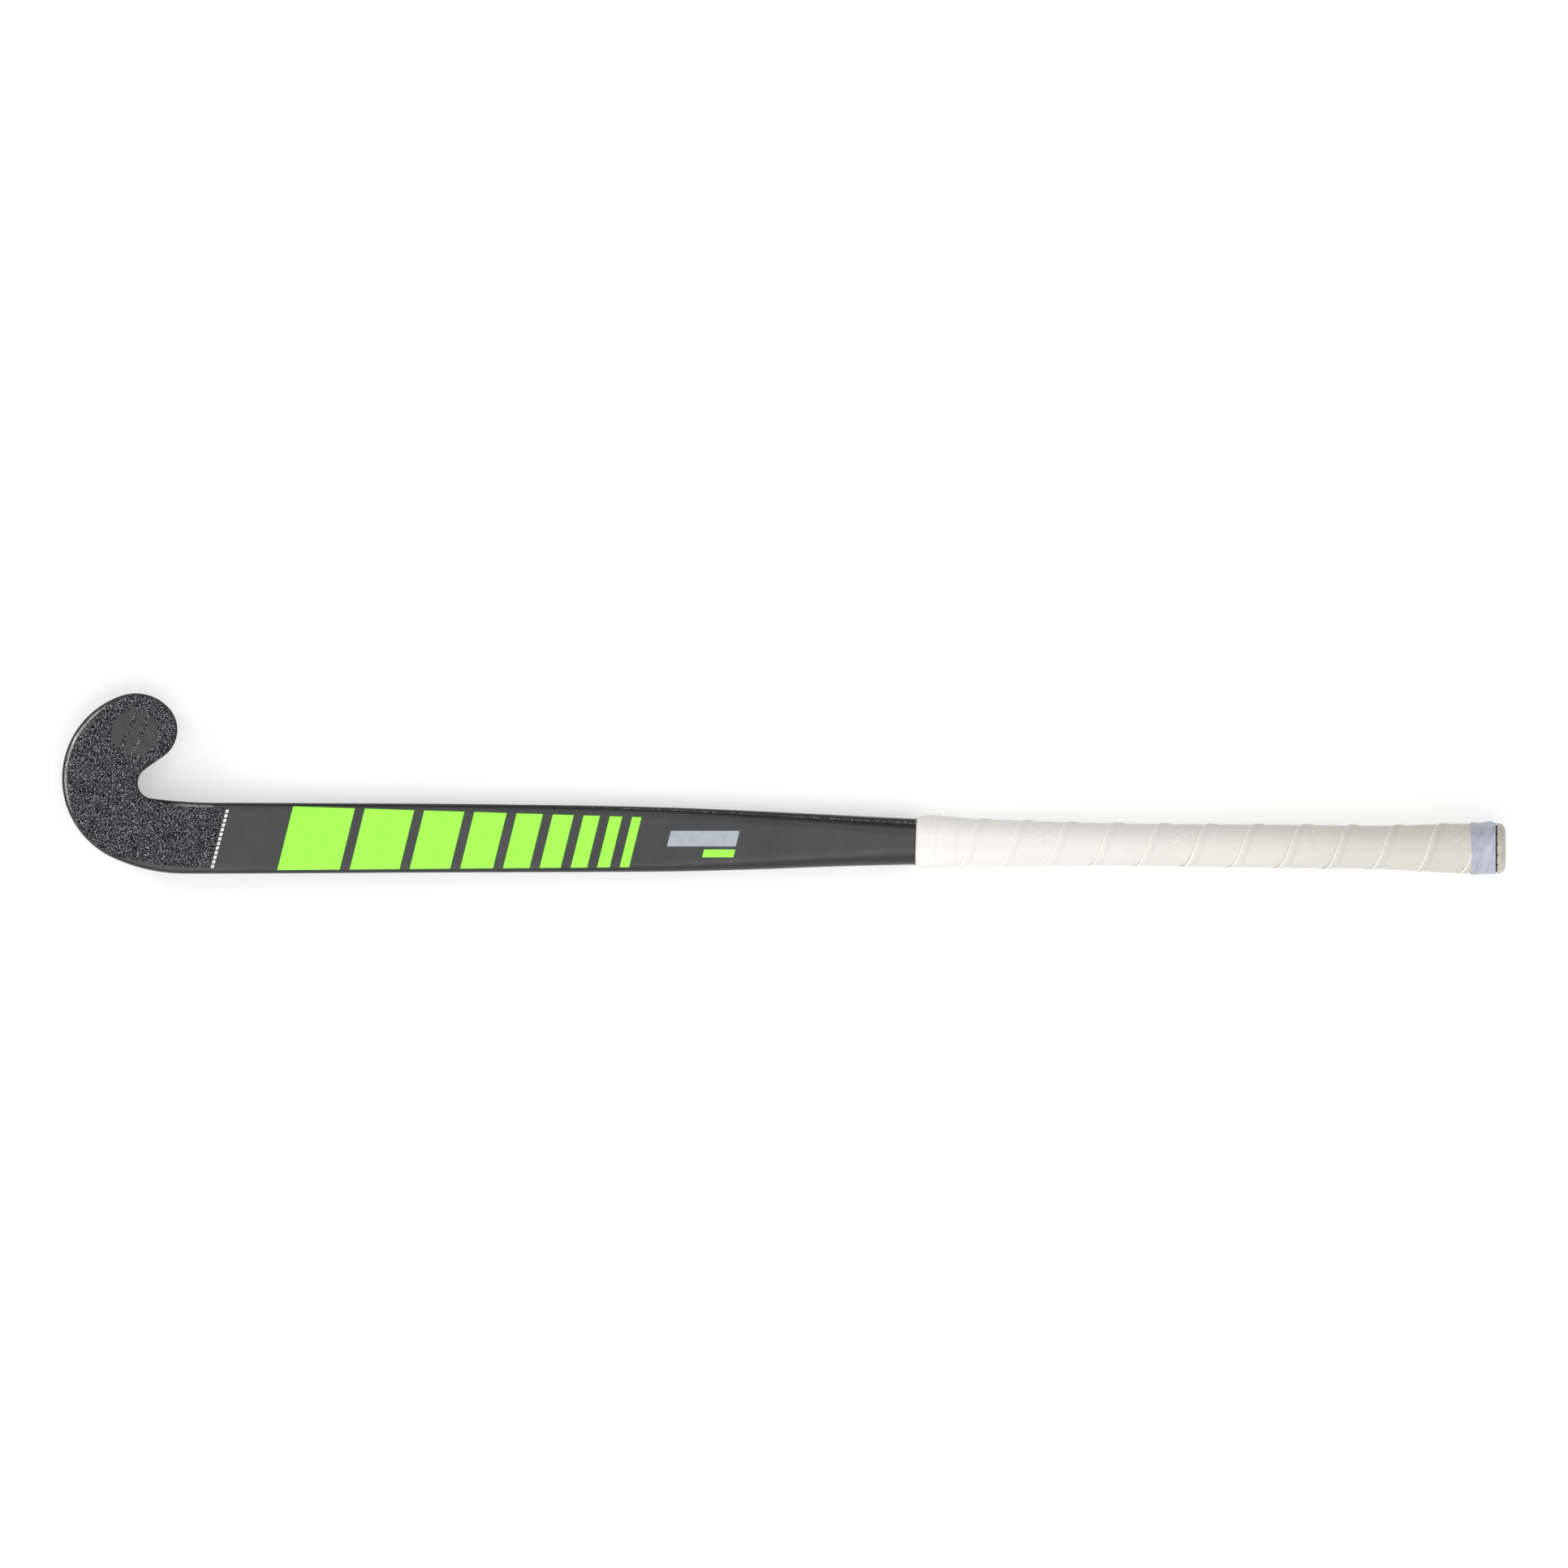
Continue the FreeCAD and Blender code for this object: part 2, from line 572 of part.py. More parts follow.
edge_line = combine("Cut", "edge_line", dash_prisms, solid_stick)

PIECES = [
    ("composite_shell", composite_shell),
    ("heel_side_tube", tubes["heel_side"]),
    ("toe_side_tube", tubes["toe_side"]),
    ("head_core", head_core),
    ("heel_strip", heel_strip),
    ("heel_side_foam", foams["heel_side"]),
    ("toe_side_foam", foams["toe_side"]),
    ("butt_plug", butt_plug),
    ("butt_cap", butt_cap),
    ("grip_underlay", grip_underlay),
    ("grip_wrap", grip_wrap),
    ("grip_collar", grip_collar),
    ("edge_seal", edge_seal),
    ("butt_tape", butt_tape),
    ("grit_coating", grit_coating),
    ("edge_line", edge_line),
    ("toe_badge", toe_badge),
    ("shaft_graphic", shaft_graphic),
    ("series_mark", series_mark),
    ("size_mark", size_mark),
]
for label, piece in PIECES:
    piece.Label = label
doc.recompute()

# The stick lies on its back: one turn for every piece, then down to the floor and to the middle.
turned = Rotation(Vector(0, 1, 0), dim("rest_pitch")).multiply(
    Rotation(Vector(1, 0, 0), -dim("rest_roll"))
)
whole = FreeCAD.BoundBox()
for label, piece in PIECES:
    shape = piece.Shape.copy()
    if label == "toe_badge":
        continue
    shape.Placement = Placement(Vector(), turned).multiply(shape.Placement)
    whole.add(shape.optimalBoundingBox(False))
shift = Vector(-(whole.XMin + whole.XMax) / 2, -(whole.YMin + whole.YMax) / 2, -whole.ZMin)
rest = Placement(shift, turned)
for label, piece in PIECES:
    own = Placement(Vector(46.5, 90.5, 0), Rotation()) if label == "toe_badge" else Placement()
    piece.Placement = rest.multiply(own)
doc.recompute()

for thing in doc.Objects:
    if "Invalid" in thing.State or "Error" in thing.State:
        raise RuntimeError(f"{thing.Name} did not build: {thing.State}")
os.makedirs("parts", exist_ok=True)
for label, piece in PIECES:
    if piece.Shape.isNull() or not piece.Shape.isValid() or not piece.Shape.Solids:
        raise RuntimeError(f"{label} has no valid shape")
    piece.Shape.exportStep(f"parts/{label}.step")
    box = piece.Shape.optimalBoundingBox(False)
    size = "x".join(f"{length:.1f}" for length in (box.XLength, box.YLength, box.ZLength))
    print(f"{label}: {len(piece.Shape.Solids)} solid(s), {size} mm, {piece.Shape.Volume:.1f} mm3")
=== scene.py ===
import json
import math

import bmesh
import bpy
import numpy as np
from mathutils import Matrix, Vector


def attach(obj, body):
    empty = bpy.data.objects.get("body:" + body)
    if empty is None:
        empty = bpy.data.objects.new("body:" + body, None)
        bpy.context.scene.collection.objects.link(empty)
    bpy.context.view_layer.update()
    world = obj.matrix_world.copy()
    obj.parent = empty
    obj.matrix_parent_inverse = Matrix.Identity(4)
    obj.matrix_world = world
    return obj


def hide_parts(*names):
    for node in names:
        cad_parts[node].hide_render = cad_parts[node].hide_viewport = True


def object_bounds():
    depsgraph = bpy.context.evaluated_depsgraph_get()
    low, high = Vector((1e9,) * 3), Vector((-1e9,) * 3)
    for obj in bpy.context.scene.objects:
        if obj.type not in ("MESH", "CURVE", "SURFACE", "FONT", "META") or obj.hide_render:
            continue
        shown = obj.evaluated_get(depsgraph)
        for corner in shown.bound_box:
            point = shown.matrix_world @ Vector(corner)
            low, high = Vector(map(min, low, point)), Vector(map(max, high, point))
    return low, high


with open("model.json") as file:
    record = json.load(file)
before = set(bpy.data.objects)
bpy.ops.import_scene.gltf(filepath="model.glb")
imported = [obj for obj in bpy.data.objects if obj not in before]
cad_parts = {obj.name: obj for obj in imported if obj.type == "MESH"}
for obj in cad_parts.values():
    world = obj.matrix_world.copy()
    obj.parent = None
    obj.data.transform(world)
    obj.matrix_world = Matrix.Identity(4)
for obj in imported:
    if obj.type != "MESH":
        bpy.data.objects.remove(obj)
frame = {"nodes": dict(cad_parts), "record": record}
cad_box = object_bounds()

# The stick is built in its own design frame, in millimetres: X from the end of the head to the butt, Y from
# the heel edge to the toe, Z out of the playing face, which is Z = 0 on the head. to_row() then lays it
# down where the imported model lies, which the record's playing_face mount gives.

FACE_MOUNT = next(m for m in frame["record"]["mounts"] if m["name"] == "playing_face")
FACE_POINT = np.array([50.0, 25.0, 0.3])
PITCH = math.atan2(FACE_MOUNT["axis"][0], FACE_MOUNT["axis"][2])
ROTATION = np.array([
    [math.cos(PITCH), 0.0, math.sin(PITCH)],
    [0.0, 1.0, 0.0],
    [-math.sin(PITCH), 0.0, math.cos(PITCH)],
])
SHIFT = np.array(FACE_MOUNT["pos_m"]) * 1000 - ROTATION @ FACE_POINT

HEAD_END, BOW_RADIUS, BOW_END = 100.0, 3200.0, 547.0
SHELL_END, CAP_END = 921.2, 926.6
FACE_EDGE, BACK_EDGE, HEAD_THICK = 3.5, 13.0, 21.5
WRAP_START, TAPE_START, TAPE_END = 548.5, 904.2, 920.2
LEAN = math.tan(math.radians(14.0))

# distance along, middle across, width, thickness, rounding of the face edges, rounding of the back edges
STATIONS = np.array([
    (100.0, 22.8, 45.6, 21.5, 3.5, 13.0), (125.0, 22.8, 45.4, 21.5, 3.5, 13.0),
    (180.0, 22.8, 44.9, 21.5, 3.6, 13.0), (235.0, 22.8, 44.3, 21.5, 3.8, 13.0),
    (290.0, 22.6, 43.6, 21.7, 4.1, 13.0), (345.0, 22.3, 42.6, 22.2, 4.8, 13.0),
    (400.0, 21.8, 40.7, 23.2, 6.0, 13.0), (450.0, 21.4, 37.2, 24.5, 7.6, 12.9),
    (500.0, 21.1, 32.9, 25.7, 9.3, 12.7), (547.0, 20.5, 29.6, 26.6, 10.8, 12.4),
    (605.0, 19.6, 26.6, 27.3, 11.5, 11.8), (665.0, 18.9, 24.0, 27.5, 11.2, 11.2),
    (725.0, 18.2, 24.0, 27.5, 11.3, 11.3), (790.0, 17.5, 24.6, 27.6, 11.4, 11.4),
    (855.0, 16.8, 25.0, 28.0, 11.6, 11.6), (897.0, 16.3, 28.4, 29.2, 12.8, 12.8),
    (921.2, 16.3, 28.6, 29.4, 12.8, 12.8),
])

# the head's arcs, clockwise from the heel: centre, radius, first and last angle
ARCS = {
    "heel": (79.0, 110.5, 110.5, 270.0, 245.17),
    "front": (56.2, 61.22, 56.2, 245.17, 109.2),
    "crown": (47.22, 87.0, 28.9, 109.2, 42.43),
    "toe_out": (53.2, 92.47, 20.8, 42.43, 0.0),
    "toe_in": (53.2, 92.47, 20.8, 0.0, -56.67),
    "lip": (174.52, -92.02, 200.0, 123.33, 127.57),
    "throat": (58.8, 58.42, 10.2, 127.57, 262.71),
    "blend": (100.0, 380.5, 334.9, 262.71, 270.0),
}


def smooth(t):
    t = np.clip(t, 0, 1)
    return t * t * (3 - 2 * t)


def section(along):
    """Middle, width, thickness and roundings at distances along the stick, by a smooth curve."""
    along = np.atleast_1d(np.asarray(along, float))
    at, values = STATIONS[:, 0], STATIONS[:, 1:]
    slope = np.zeros_like(values)
    step = np.diff(at)[:, None]
    rise = np.diff(values, axis=0) / step
    slope[1:-1] = (rise[:-1] * step[1:] + rise[1:] * step[:-1]) / (step[1:] + step[:-1])
    slope[-1] = 0
    s = np.clip(along, at[0], at[-1])
    k = np.clip(np.searchsorted(at, s, side="right") - 1, 0, len(at) - 2)
    h = step[k]
    t = ((s - at[k]) / h[:, 0])[:, None]
    a, b = values[k], values[k + 1]
    return (
        (2 * t**3 - 3 * t**2 + 1) * a + (t**3 - 2 * t**2 + t) * h * slope[k]
        + (-2 * t**3 + 3 * t**2) * b + (t**3 - t**2) * h * slope[k + 1]
    )


def bend(along, y, z):
    """Points given along the face, across it and out of it, moved onto the bowed stick."""
    along, y, z = np.broadcast_arrays(*(np.asarray(v, float) for v in (along, y, z)))
    turn = (np.clip(along, HEAD_END, BOW_END) - HEAD_END) / BOW_RADIUS
    past = np.maximum(along - BOW_END, 0)
    before = np.minimum(along, HEAD_END)
    sin, cos = np.sin(turn), np.cos(turn)
    x = before + BOW_RADIUS * sin + past * cos - z * sin
    return np.stack([x, y, BOW_RADIUS * (1 - cos) + past * sin + z * cos], axis=-1)


def to_row(points):
    """Design frame, millimetres, to the row frame, metres."""
    return (np.asarray(points).reshape(-1, 3) @ ROTATION.T + SHIFT) / 1000


# Meshes.


def make_mesh(name, points, faces, material, slot, nodes=(), uv=None, sharp=None):
    """A piece from points in the design frame. uv gives one pattern coordinate for each point."""
    mesh = bpy.data.meshes.new(name)
    mesh.from_pydata(to_row(points).tolist(), [], [list(map(int, f)) for f in faces])
    mesh.validate()
    mesh.polygons.foreach_set("use_smooth", [True] * len(mesh.polygons))
    if sharp is not None:
        mesh.set_sharp_from_angle(angle=math.radians(sharp))
    if uv is not None:
        layer = mesh.uv_layers.new(name="pattern")
        corner = np.zeros(len(mesh.loops), np.int32)
        mesh.loops.foreach_get("vertex_index", corner)
        layer.data.foreach_set("uv", np.asarray(uv, np.float32)[corner].ravel())
    piece = bpy.data.objects.new(name, mesh)
    bpy.context.collection.objects.link(piece)
    mesh.materials.append(material)
    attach(piece, "root")
    if nodes:
        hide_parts(*nodes)
    return piece


def grid_faces(rows, columns, wrap=False, offset=0, flip=False):
    """Quads between rows of points, row by row. wrap joins the last column to the first."""
    r = np.arange(rows - 1)[:, None]
    c = np.arange(columns if wrap else columns - 1)[None, :]
    after = (c + 1) % columns
    quads = np.stack(
        np.broadcast_arrays(r * columns + c, r * columns + after, (r + 1) * columns + after,
                            (r + 1) * columns + c), axis=-1
    ).reshape(-1, 4) + offset
    return quads[:, ::-1] if flip else quads


def slab_mesh(top, bottom):
    """A closed thin slab from two grids of points, rows x columns x 3."""
    rows, columns = top.shape[:2]
    count = rows * columns
    faces = [grid_faces(rows, columns, flip=True), grid_faces(rows, columns, offset=count)]
    edge = np.concatenate([
        np.arange(columns), np.arange(2, rows + 1) * columns - 1,
        count - 2 - np.arange(columns - 1), np.arange(rows - 2, 0, -1) * columns,
    ])
    after = np.roll(edge, -1)
    faces.append(np.stack([edge, after, after + count, edge + count], axis=-1))
    return np.concatenate([top.reshape(-1, 3), bottom.reshape(-1, 3)]), np.concatenate(faces)


def join_parts(parts):
    """One list of points and faces from several."""
    points, faces, base = [], [], 0
    for p, f in parts:
        points.append(p)
        faces.append(np.asarray(f) + base)
        base += len(p)
    return np.concatenate(points), np.concatenate(faces)


# Materials.


class Nodes:
    """A material's node tree, built in short lines."""

    def __init__(self, name, color, roughness, specular=0.5):
        self.material = bpy.data.materials.new(name)
        self.material.use_nodes = True
        self.tree = self.material.node_tree
        self.shader = self.tree.nodes["Principled BSDF"]
        sockets = self.shader.inputs
        sockets["Base Color"].default_value = (*color, 1)
        sockets["Roughness"].default_value = roughness
        sockets["Specular IOR Level"].default_value = specular
        self.where = self.tree.nodes.new("ShaderNodeTexCoord").outputs["Object"]

    def link(self, a, b):
        self.tree.links.new(a, b)

    def uv(self):
        node = self.tree.nodes.new("ShaderNodeUVMap")
        node.uv_map = "pattern"
        return node.outputs["UV"]

    def stretch(self, source, scale):
        node = self.tree.nodes.new("ShaderNodeMapping")
        node.inputs["Scale"].default_value = scale
        self.link(source, node.inputs["Vector"])
        return node.outputs["Vector"]

    def noise(self, scale, detail=2.0, rough=0.5, source=None, distort=0.0):
        node = self.tree.nodes.new("ShaderNodeTexNoise")
        self.link(source or self.where, node.inputs["Vector"])
        values = (("Scale", scale), ("Detail", detail), ("Roughness", rough), ("Distortion", distort))
        for key, value in values:
            node.inputs[key].default_value = value
        return node.outputs["Fac"]

    def split(self, source, axis):
        node = self.tree.nodes.new("ShaderNodeSeparateXYZ")
        self.link(source, node.inputs[0])
        return node.outputs[axis]

    def math(self, kind, a, b):
        node = self.tree.nodes.new("ShaderNodeMath")
        node.operation = kind
        for k, value in enumerate((a, b)):
            if isinstance(value, (int, float)):
                node.inputs[k].default_value = value
            else:
                self.link(value, node.inputs[k])
        return node.outputs[0]

    def fit(self, source, low, high, to_low=0.0, to_high=1.0, smooth=False):
        node = self.tree.nodes.new("ShaderNodeMapRange")
        if smooth:
            node.interpolation_type = "SMOOTHSTEP"
        self.link(source, node.inputs["Value"])
        for k, value in zip(("From Min", "From Max", "To Min", "To Max"), (low, high, to_low, to_high)):
            node.inputs[k].default_value = value
        return node.outputs["Result"]

    def mix(self, factor, a, b, blend="MIX"):
        node = self.tree.nodes.new("ShaderNodeMix")
        node.data_type = "RGBA"
        node.blend_type = blend
        for socket, value in ((node.inputs[0], factor), (node.inputs[6], a), (node.inputs[7], b)):
            if isinstance(value, tuple):
                socket.default_value = (*value, 1)
            elif isinstance(value, (int, float)):
                socket.default_value = value
            else:
                self.link(value, socket)
        return node.outputs[2]

    def color(self, value):
        self.link(value, self.shader.inputs["Base Color"])

    def rough(self, value):
        self.link(value, self.shader.inputs["Roughness"])

    def bump(self, height, distance, strength):
        node = self.tree.nodes.new("ShaderNodeBump")
        node.inputs["Distance"].default_value = distance
        node.inputs["Strength"].default_value = strength
        self.link(height, node.inputs["Height"])
        self.link(node.outputs["Normal"], self.shader.inputs["Normal"])


def laminate_material(name, specular, roughness, side_tone):
    """Lacquer over carbon: charcoal on the face, blacker round the sides, worn pale along the seam, with a
    painted highlight on the head's edge. The pattern gives how far the surface is turned to the face, and a
    zone: up to 1 on the toe side of the shaft, and below 0 on the head, down to -1 where the painted
    highlight goes."""
    n = Nodes(name, side_tone, roughness, specular=specular)
    turned, zone = n.split(n.uv(), 0), n.split(n.uv(), 1)
    cloud = n.noise(24, 4, 0.6)
    fine = n.noise(420, 3, 0.6)
    face = n.mix(n.fit(cloud, 0.32, 0.68), (0.011, 0.011, 0.012), (0.026, 0.026, 0.028))
    face = n.mix(n.fit(fine, 0.6, 0.74, 0, 0.3), face, (0.07, 0.07, 0.074))
    both = n.mix(n.fit(turned, 0.5, 0.95, smooth=True), side_tone, face)
    line = n.math("MULTIPLY", n.fit(turned, 0.62, 0.66), n.fit(turned, 0.73, 0.69))
    specks = n.fit(n.noise(480, 2, 0.7), 0.5, 0.58)
    patches = n.fit(n.noise(30, 1), 0.35, 0.55)
    worn = n.math("MULTIPLY", n.math("MULTIPLY", line, specks), n.math("MULTIPLY", patches, zone))
    both = n.mix(worn, both, (0.26, 0.26, 0.25))
    # a painted highlight: pale specks on the head's edge where the coating ends on it, standing in for a
    # lamp's reflection
    highlight_band = n.math("MULTIPLY", n.fit(turned, 0.75, 0.85), n.fit(turned, 0.999, 0.97))
    highlight_specks = n.fit(n.noise(800, 2, 0.7), 0.38, 0.58, 0.35, 1.0)
    painted_highlight = n.math("MULTIPLY", highlight_specks, n.fit(zone, -0.55, -1.0))
    n.color(n.mix(n.math("MULTIPLY", highlight_band, painted_highlight), both, (0.37, 0.365, 0.35)))
    satin = n.math("ADD", n.fit(cloud, 0.3, 0.7, roughness + 0.05, roughness - 0.04),
                   n.fit(fine, 0.3, 0.7, -0.03, 0.04))
    # the head's rounded edge is polished
    rim = n.math("MULTIPLY", n.fit(zone, -0.3, -0.8), n.fit(turned, 0.998, 0.985))
    n.rough(n.math("MULTIPLY", satin, n.fit(rim, 0, 1, 1.0, 0.38)))
    n.bump(n.noise(900, 2), 0.00002, 0.6)
    return n.material


def grit_material():
    """Sprayed grit: black binder with grains that catch the light."""
    n = Nodes("sprayed_grit", (0.03, 0.03, 0.035), 0.6, specular=0.12)
    grain = n.noise(1650, 2, 0.7)
    coarse = n.noise(820, 2, 0.6)
    both = n.math("ADD", n.math("MULTIPLY", grain, 0.6), n.math("MULTIPLY", coarse, 0.4))
    tone = n.mix(n.fit(both, 0.508, 0.576), (0.0005, 0.0005, 0.001), (0.108, 0.106, 0.117))
    glint = n.fit(n.noise(1500, 1, 0.6), 0.61, 0.67)
    cloud = n.fit(n.noise(40, 2), 0.3, 0.7, 0.75, 1.05)
    tone = n.mix(1.0, tone, n.mix(cloud, (0, 0, 0), (1, 1, 1)), "MULTIPLY")
    n.color(n.mix(glint, tone, (0.5, 0.5, 0.52)))
    n.rough(n.fit(grain, 0.35, 0.65, 0.75, 0.45))
    n.bump(both, 0.0003, 1.0)
    return n.material


def print_material(name, color, second, roughness=0.35):
    """A printed film, with faint press texture."""
    n = Nodes(name, color, roughness, specular=0.4)
    n.color(n.mix(n.fit(n.noise(160, 3), 0.35, 0.65), color, second))
    n.rough(n.fit(n.noise(500, 2), 0.3, 0.7, roughness - 0.05, roughness + 0.08))
    n.bump(n.noise(1200, 2), 0.00001, 0.5)
    return n.material


def grip_material():
    """Polyurethane strip: cream skin with fine pores, darker towards the butt; a painted highlight on each
    seam's leading edge, and painted shade behind the seam and along the lap.
    """
    n = Nodes("cream_grip", (0.86, 0.85, 0.8), 0.55, specular=0.35)
    across, along = n.split(n.uv(), 0), n.split(n.uv(), 1)
    pores = n.noise(1500, 3, 0.65)
    cloud = n.noise(26, 4, 0.6)
    skin = n.mix(along, (0.85, 0.84, 0.8), (0.62, 0.605, 0.53))
    shade = n.mix(along, (0.77, 0.76, 0.72), (0.52, 0.505, 0.43))
    skin = n.mix(n.fit(cloud, 0.4, 0.75, 0, 0.4), skin, shade)
    skin = n.mix(n.fit(pores, 0.55, 0.75, 0, 0.2), skin, shade)
    # painted shade: a darker band just behind each seam, and along the lap where the next turn covers the
    # strip
    band = n.math("MULTIPLY", n.fit(across, 0.05, 0.12, smooth=True),
                  n.fit(across, 0.24, 0.15, smooth=True))
    lap = n.fit(across, 0.845, 0.895, smooth=True)
    skin = n.mix(n.math("MULTIPLY", n.math("ADD", n.math("MULTIPLY", band, 0.5), lap), 0.62), skin, shade)
    # painted highlight: the leading edge of each turn is pale, as a seam catching the light
    edge = n.fit(across, 0.012, 0.022, 1.0, 0.0)
    n.color(n.mix(edge, skin, (0.97, 0.96, 0.91)))
    n.rough(n.fit(cloud, 0.3, 0.7, 0.62, 0.48))
    n.bump(pores, 0.00006, 0.45)
    return n.material


def tape_material():
    """Stretched vinyl tape, with pale streaks along it painted as highlights on its creases."""
    n = Nodes("vinyl_tape", (0.4, 0.45, 0.55), 0.3, specular=0.5)
    uv = n.uv()
    slant = n.noise(1.0, 3, 0.55, n.stretch(uv, (0.05, 0.28, 1)), 0.5)
    fine = n.noise(1.0, 3, 0.6, n.stretch(uv, (0.12, 0.8, 1)), 0.4)
    tone = n.mix(n.fit(slant, 0.35, 0.65), (0.36, 0.395, 0.46), (0.45, 0.485, 0.55))
    # painted highlight: pale streaks that stand in for light on the crease ridges
    tone = n.mix(n.fit(fine, 0.55, 0.72, 0, 0.5), tone, (0.62, 0.65, 0.69))
    n.color(tone)
    n.rough(n.fit(fine, 0.3, 0.7, 0.24, 0.42))
    n.bump(fine, 0.0001, 0.5)
    return n.material


def rubber_material():
    """Moulded cream rubber, a little soiled."""
    n = Nodes("cream_rubber", (0.62, 0.6, 0.52), 0.55, specular=0.35)
    cloud = n.noise(160, 4, 0.6)
    n.color(n.mix(n.fit(cloud, 0.35, 0.68), (0.5, 0.475, 0.42), (0.6, 0.57, 0.51)))
    n.rough(n.fit(cloud, 0.3, 0.7, 0.6, 0.48))
    n.bump(n.noise(1400, 2), 0.00004, 0.5)
    return n.material


def plain_material(name, color, roughness, scale=300.0):
    """For pieces inside the stick: colour varies a little, with fine bumps."""
    n = Nodes(name, color, roughness)
    dark = tuple(0.7 * c for c in color)
    n.color(n.mix(n.fit(n.noise(scale, 3), 0.35, 0.65), dark, color))
    n.bump(n.noise(scale * 2, 2), 0.00005, 0.6)
    return n.material


LAMINATE = laminate_material("satin_laminate", 0.5, 0.36, (0.008, 0.008, 0.009))
# a darker, duller copy of the lacquer for the toe side and back: painted shade, where the light falls dim
SHADED_LAMINATE = laminate_material("painted_shade_laminate", 0.12, 0.3, (0.006, 0.006, 0.007))
GRIT = grit_material()
GRIP = grip_material()
TAPE = tape_material()
RUBBER = rubber_material()
LIME = print_material("lime_print", (0.36, 0.92, 0.06), (0.33, 0.87, 0.05))
LIME_EDGE = print_material("lime_keyline", (0.02, 0.12, 0.01), (0.015, 0.09, 0.01))
SILVER = print_material("silver_print", (0.4, 0.44, 0.49), (0.35, 0.39, 0.43), 0.3)
WHITE = print_material("white_print", (0.88, 0.88, 0.88), (0.8, 0.8, 0.8), 0.4)
BADGE = print_material("badge_film", (0.034, 0.034, 0.036), (0.024, 0.024, 0.026), 0.34)
SEAL = print_material("adhesive_edge", (0.05, 0.02, 0.012), (0.03, 0.012, 0.008), 0.35)
# painted shade: the cap's groove is near-black, standing in for shade in the recess
GROOVE_SHADE = plain_material("groove_painted_shade", (0.03, 0.03, 0.028), 0.8)


# The laminate. Each section runs between a point on the outer edge of the stick and one on the inner edge.


def arc_points(name, share):
    """Points and inward directions along one arc of the head's outline."""
    cx, cy, radius, first, last = ARCS[name]
    angle = np.radians(first + (last - first) * share)
    out = np.stack([np.cos(angle), np.sin(angle)], axis=-1)
    hollow = name in ("lip", "throat", "blend")
    return np.array([cx, cy]) + radius * out, out if hollow else -out


def run_length(name):
    radius, first, last = ARCS[name][2:]
    return radius * abs(math.radians(last - first))


def along_chain(chain, distance):
    """Points and inward directions at distances along a chain of arcs; the outer one starts with a line."""
    points, inward = np.zeros((len(distance), 2)), np.zeros((len(distance), 2))
    start = 0.0
    for name in chain:
        length = HEAD_END - ARCS["heel"][0] if name == "line" else run_length(name)
        mask = (distance >= start - 1e-9) & (distance <= start + length + 1e-6)
        share = np.clip((distance[mask] - start) / length, 0, 1)
        if name == "line":
            points[mask] = np.stack([HEAD_END - share * length, np.zeros(mask.sum())], axis=-1)
            inward[mask] = (0, 1)
        else:
            # the inner edge is followed against the order of its angles
            points[mask], inward[mask] = arc_points(name, 1 - share if chain is INNER else share)
        start += length
    return points, inward


OUTER = ("line", "heel", "front", "crown", "toe_out")
INNER = ("blend", "throat", "lip", "toe_in")
# distances along the two edges that belong together, from the shaft to the toe
OUTER_KNOTS = [0.0, 49.9, 168.8, 204.8, HEAD_END - ARCS["heel"][0] + sum(run_length(n) for n in OUTER[1:])]
INNER_KNOTS = [0.0, *np.cumsum([run_length(n) for n in INNER])]


def head_pairs(count):
    """count pairs of outer and inner points round the hook, from the shaft to the tip of the toe."""
    outer = np.linspace(0, OUTER_KNOTS[-1], count)
    inner = np.interp(outer, OUTER_KNOTS, INNER_KNOTS)
    kernel = np.ones(9) / 9
    padded = np.concatenate([inner[0] - np.arange(4, 0, -1) * (inner[1] - inner[0]), inner,
                             inner[-1] + np.arange(1, 5) * (inner[-1] - inner[-2])])
    inner = np.clip(np.convolve(padded, kernel, "valid"), 0, INNER_KNOTS[-1])
    return (*along_chain(OUTER, outer), *along_chain(INNER, inner))


def corner(count, start, end):
    return np.radians(np.linspace(start, end, count))


def section_loop(o, n_o, i, n_i, thick, face_r, back_r, across=12):
    """One closed section between outer point o and inner point i: plan position, height and how far the
    surface is turned to the face, from 1 on the face to 0 on a side and -1 on the back."""
    plan, height, turned = [], [], []

    def side(point, inward, reverse):
        items = []
        for angle in corner(10, 90, 0):
            rise = back_r * (1 - math.sin(angle))
            items.append((back_r * (1 - math.cos(angle)), rise - thick, -math.sin(angle)))
        items.append((0, (-face_r - thick + back_r) / 2, 0))
        for angle in corner(8, 0, 90):
            items.append((face_r * (1 - math.cos(angle)), -face_r * (1 - math.sin(angle)), math.sin(angle)))
        for inset, z, facing in reversed(items) if reverse else items:
            plan.append(point + inward * inset)
            height.append(z)
            turned.append(facing)

    side(o, n_o, False)
    face_a, face_b = o + n_o * face_r, i + n_i * face_r
    for k in range(1, across):
        plan.append(face_a + (face_b - face_a) * k / across)
        height.append(0.0)
        turned.append(1.0)
    side(i, n_i, True)
    back_a, back_b = i + n_i * back_r, o + n_o * back_r
    for k in range(1, across):
        plan.append(back_a + (back_b - back_a) * k / across)
        height.append(-thick)
        turned.append(-1.0)
    return np.array(plan), np.array(height), np.array(turned)


# the columns of a section from its outer point to the middle of the face
OUTER_COLUMNS = 25


